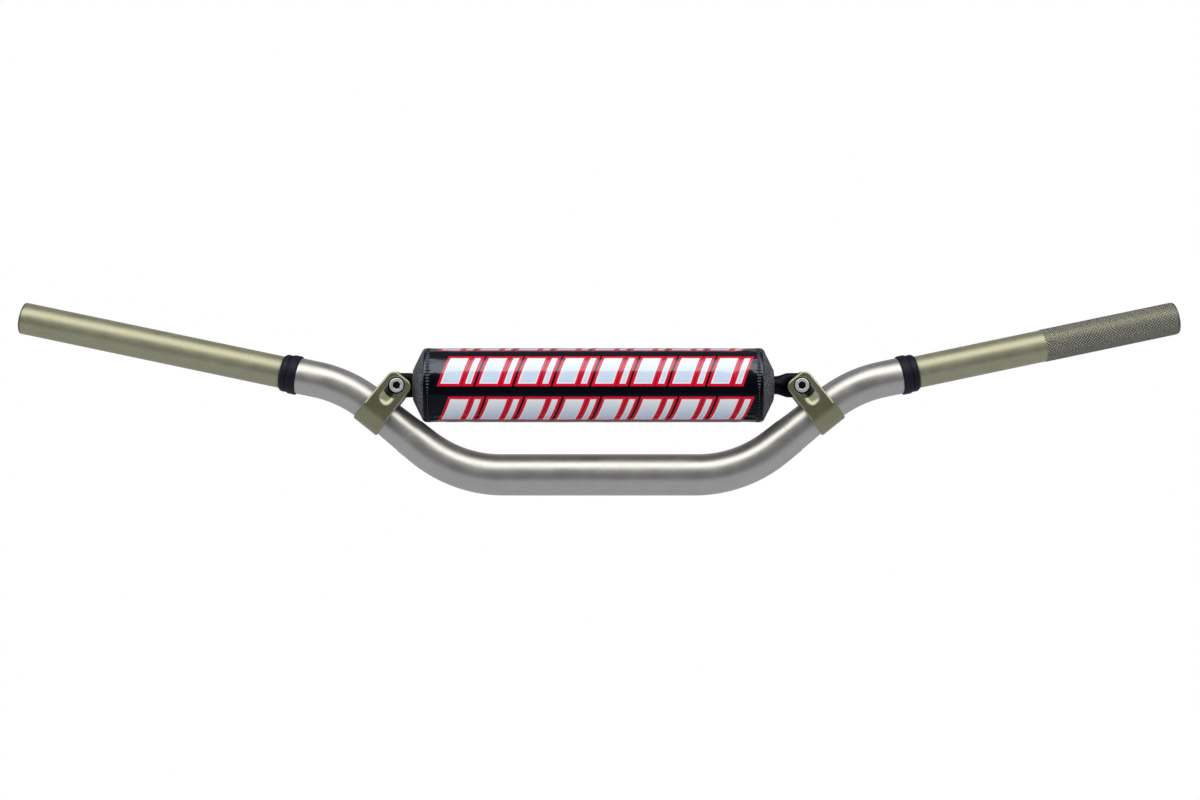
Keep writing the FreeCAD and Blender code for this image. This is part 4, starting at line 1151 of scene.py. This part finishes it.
def add_floor():
    height, rows, columns = -0.36, 24, 12
    vertices = [(x, y, height) for y in np.linspace(-0.72, 2.6, rows)
                for x in np.linspace(-2.4, 2.4, columns)]
    faces = grid_quads(np.arange(rows * columns).reshape(rows, columns))
    floor = add_mesh("floor", vertices, faces)
    dress(floor, floor_material(), body=None)


# (degrees, level): angle above the horizon on the camera's side, then over the top
SKY_LEVELS = [
    (-180, 0.10), (-150, 0.16), (-60, 0.12), (-29, 0.12), (-24, 0.05), (0, 0.045),
    (39, 0.045), (44.0, 0.07), (46.5, 0.95), (60, 1.0), (76, 0.90), (84, 0.60),
    (91, 0.14), (100, 0.06), (128, 0.04), (136, 0.15), (152, 0.15), (165, 0.05),
    (180, 0.08),
]


def fill_sky_ramp(elements):
    while len(elements) > 1:
        elements.remove(elements[0])
    for i, (degrees, level) in enumerate(SKY_LEVELS):
        place = (degrees + 180) / 360
        element = elements[0] if i == 0 else elements.new(place)
        element.position = place
        # warm in the lit part, a little blue in the shade
        warm = min(1.0, max(0.0, (level - 0.2) / 0.6))
        tint = (0.97 + 0.03 * warm, 0.96 + 0.03 * warm, 1.02 - 0.11 * warm)
        element.color = (*tinted(tint, level), 1)


def add_world():
    """A long overhead light that bends down towards its two ends, on a white backdrop."""
    light_strength, end_bend, diffuse_fill = 2.3, math.radians(30), 0.34
    world = bpy.data.worlds.new("studio")
    scene.world = world
    nodes = Nodes(world)
    generated = nodes.node("ShaderNodeTexCoord").outputs["Generated"]
    x, y, z = nodes.node("ShaderNodeSeparateXYZ", {0: generated}).outputs
    angle = nodes.math("ARCTAN2", z, nodes.math("MULTIPLY", y, -1.0))
    bend = nodes.math("MULTIPLY", nodes.math("ABSOLUTE", x, 0.0), end_bend)
    angle = nodes.math("ADD", angle, bend)
    turn = nodes.math("ADD", nodes.math("DIVIDE", angle, 2 * math.pi), 0.5)
    ramp = nodes.node("ShaderNodeValToRGB", {0: nodes.math("MINIMUM", turn, 1.0)})
    fill_sky_ramp(ramp.color_ramp.elements)

    def background(colour, strength):
        return nodes.node("ShaderNodeBackground", {0: colour, 1: strength}).outputs[0]

    path = nodes.node("ShaderNodeLightPath").outputs
    light = background(ramp.outputs[0], light_strength)
    white = background((1, 1, 1), 1.0)
    ambient = nodes.math("MULTIPLY", path["Is Diffuse Ray"], diffuse_fill)
    soft = background((0.96, 0.98, 1.0), ambient)
    both = nodes.node("ShaderNodeAddShader", {0: light, 1: soft}).outputs[0]
    pick = nodes.node("ShaderNodeMixShader", {0: path["Is Camera Ray"], 1: both, 2: white})
    nodes.node("ShaderNodeOutputWorld", {0: pick.outputs[0]})


def add_camera():
    """Long lens in front of the bar, looking level along +Y."""
    lens = bpy.data.cameras.new("camera")
    lens.sensor_width = 36
    lens.lens = 108.4
    lens.clip_start, lens.clip_end = 0.05, 50
    camera = bpy.data.objects.new("camera", lens)
    camera.location = (0.0005, -2.5, 0.0518)
    camera.rotation_euler = (math.pi / 2, 0, 0)
    scene.collection.objects.link(camera)
    scene.camera = camera


# ----------------------------------------------------------------------- build
paint_cad_pieces()
centreline = half_centreline()
outer_tube(centreline)
inner_tube(centreline)
grip_knurl()
pad_cover()
end_cap("left", seed=3)
end_cap("right", seed=4)
rim_stitching("left", PAD_LEFT + SEAM_MM * MM)
rim_stitching("right", PAD_RIGHT - SEAM_MM * MM)
flap_and_strips()
foam_core()
add_floor()
add_world()
add_camera()
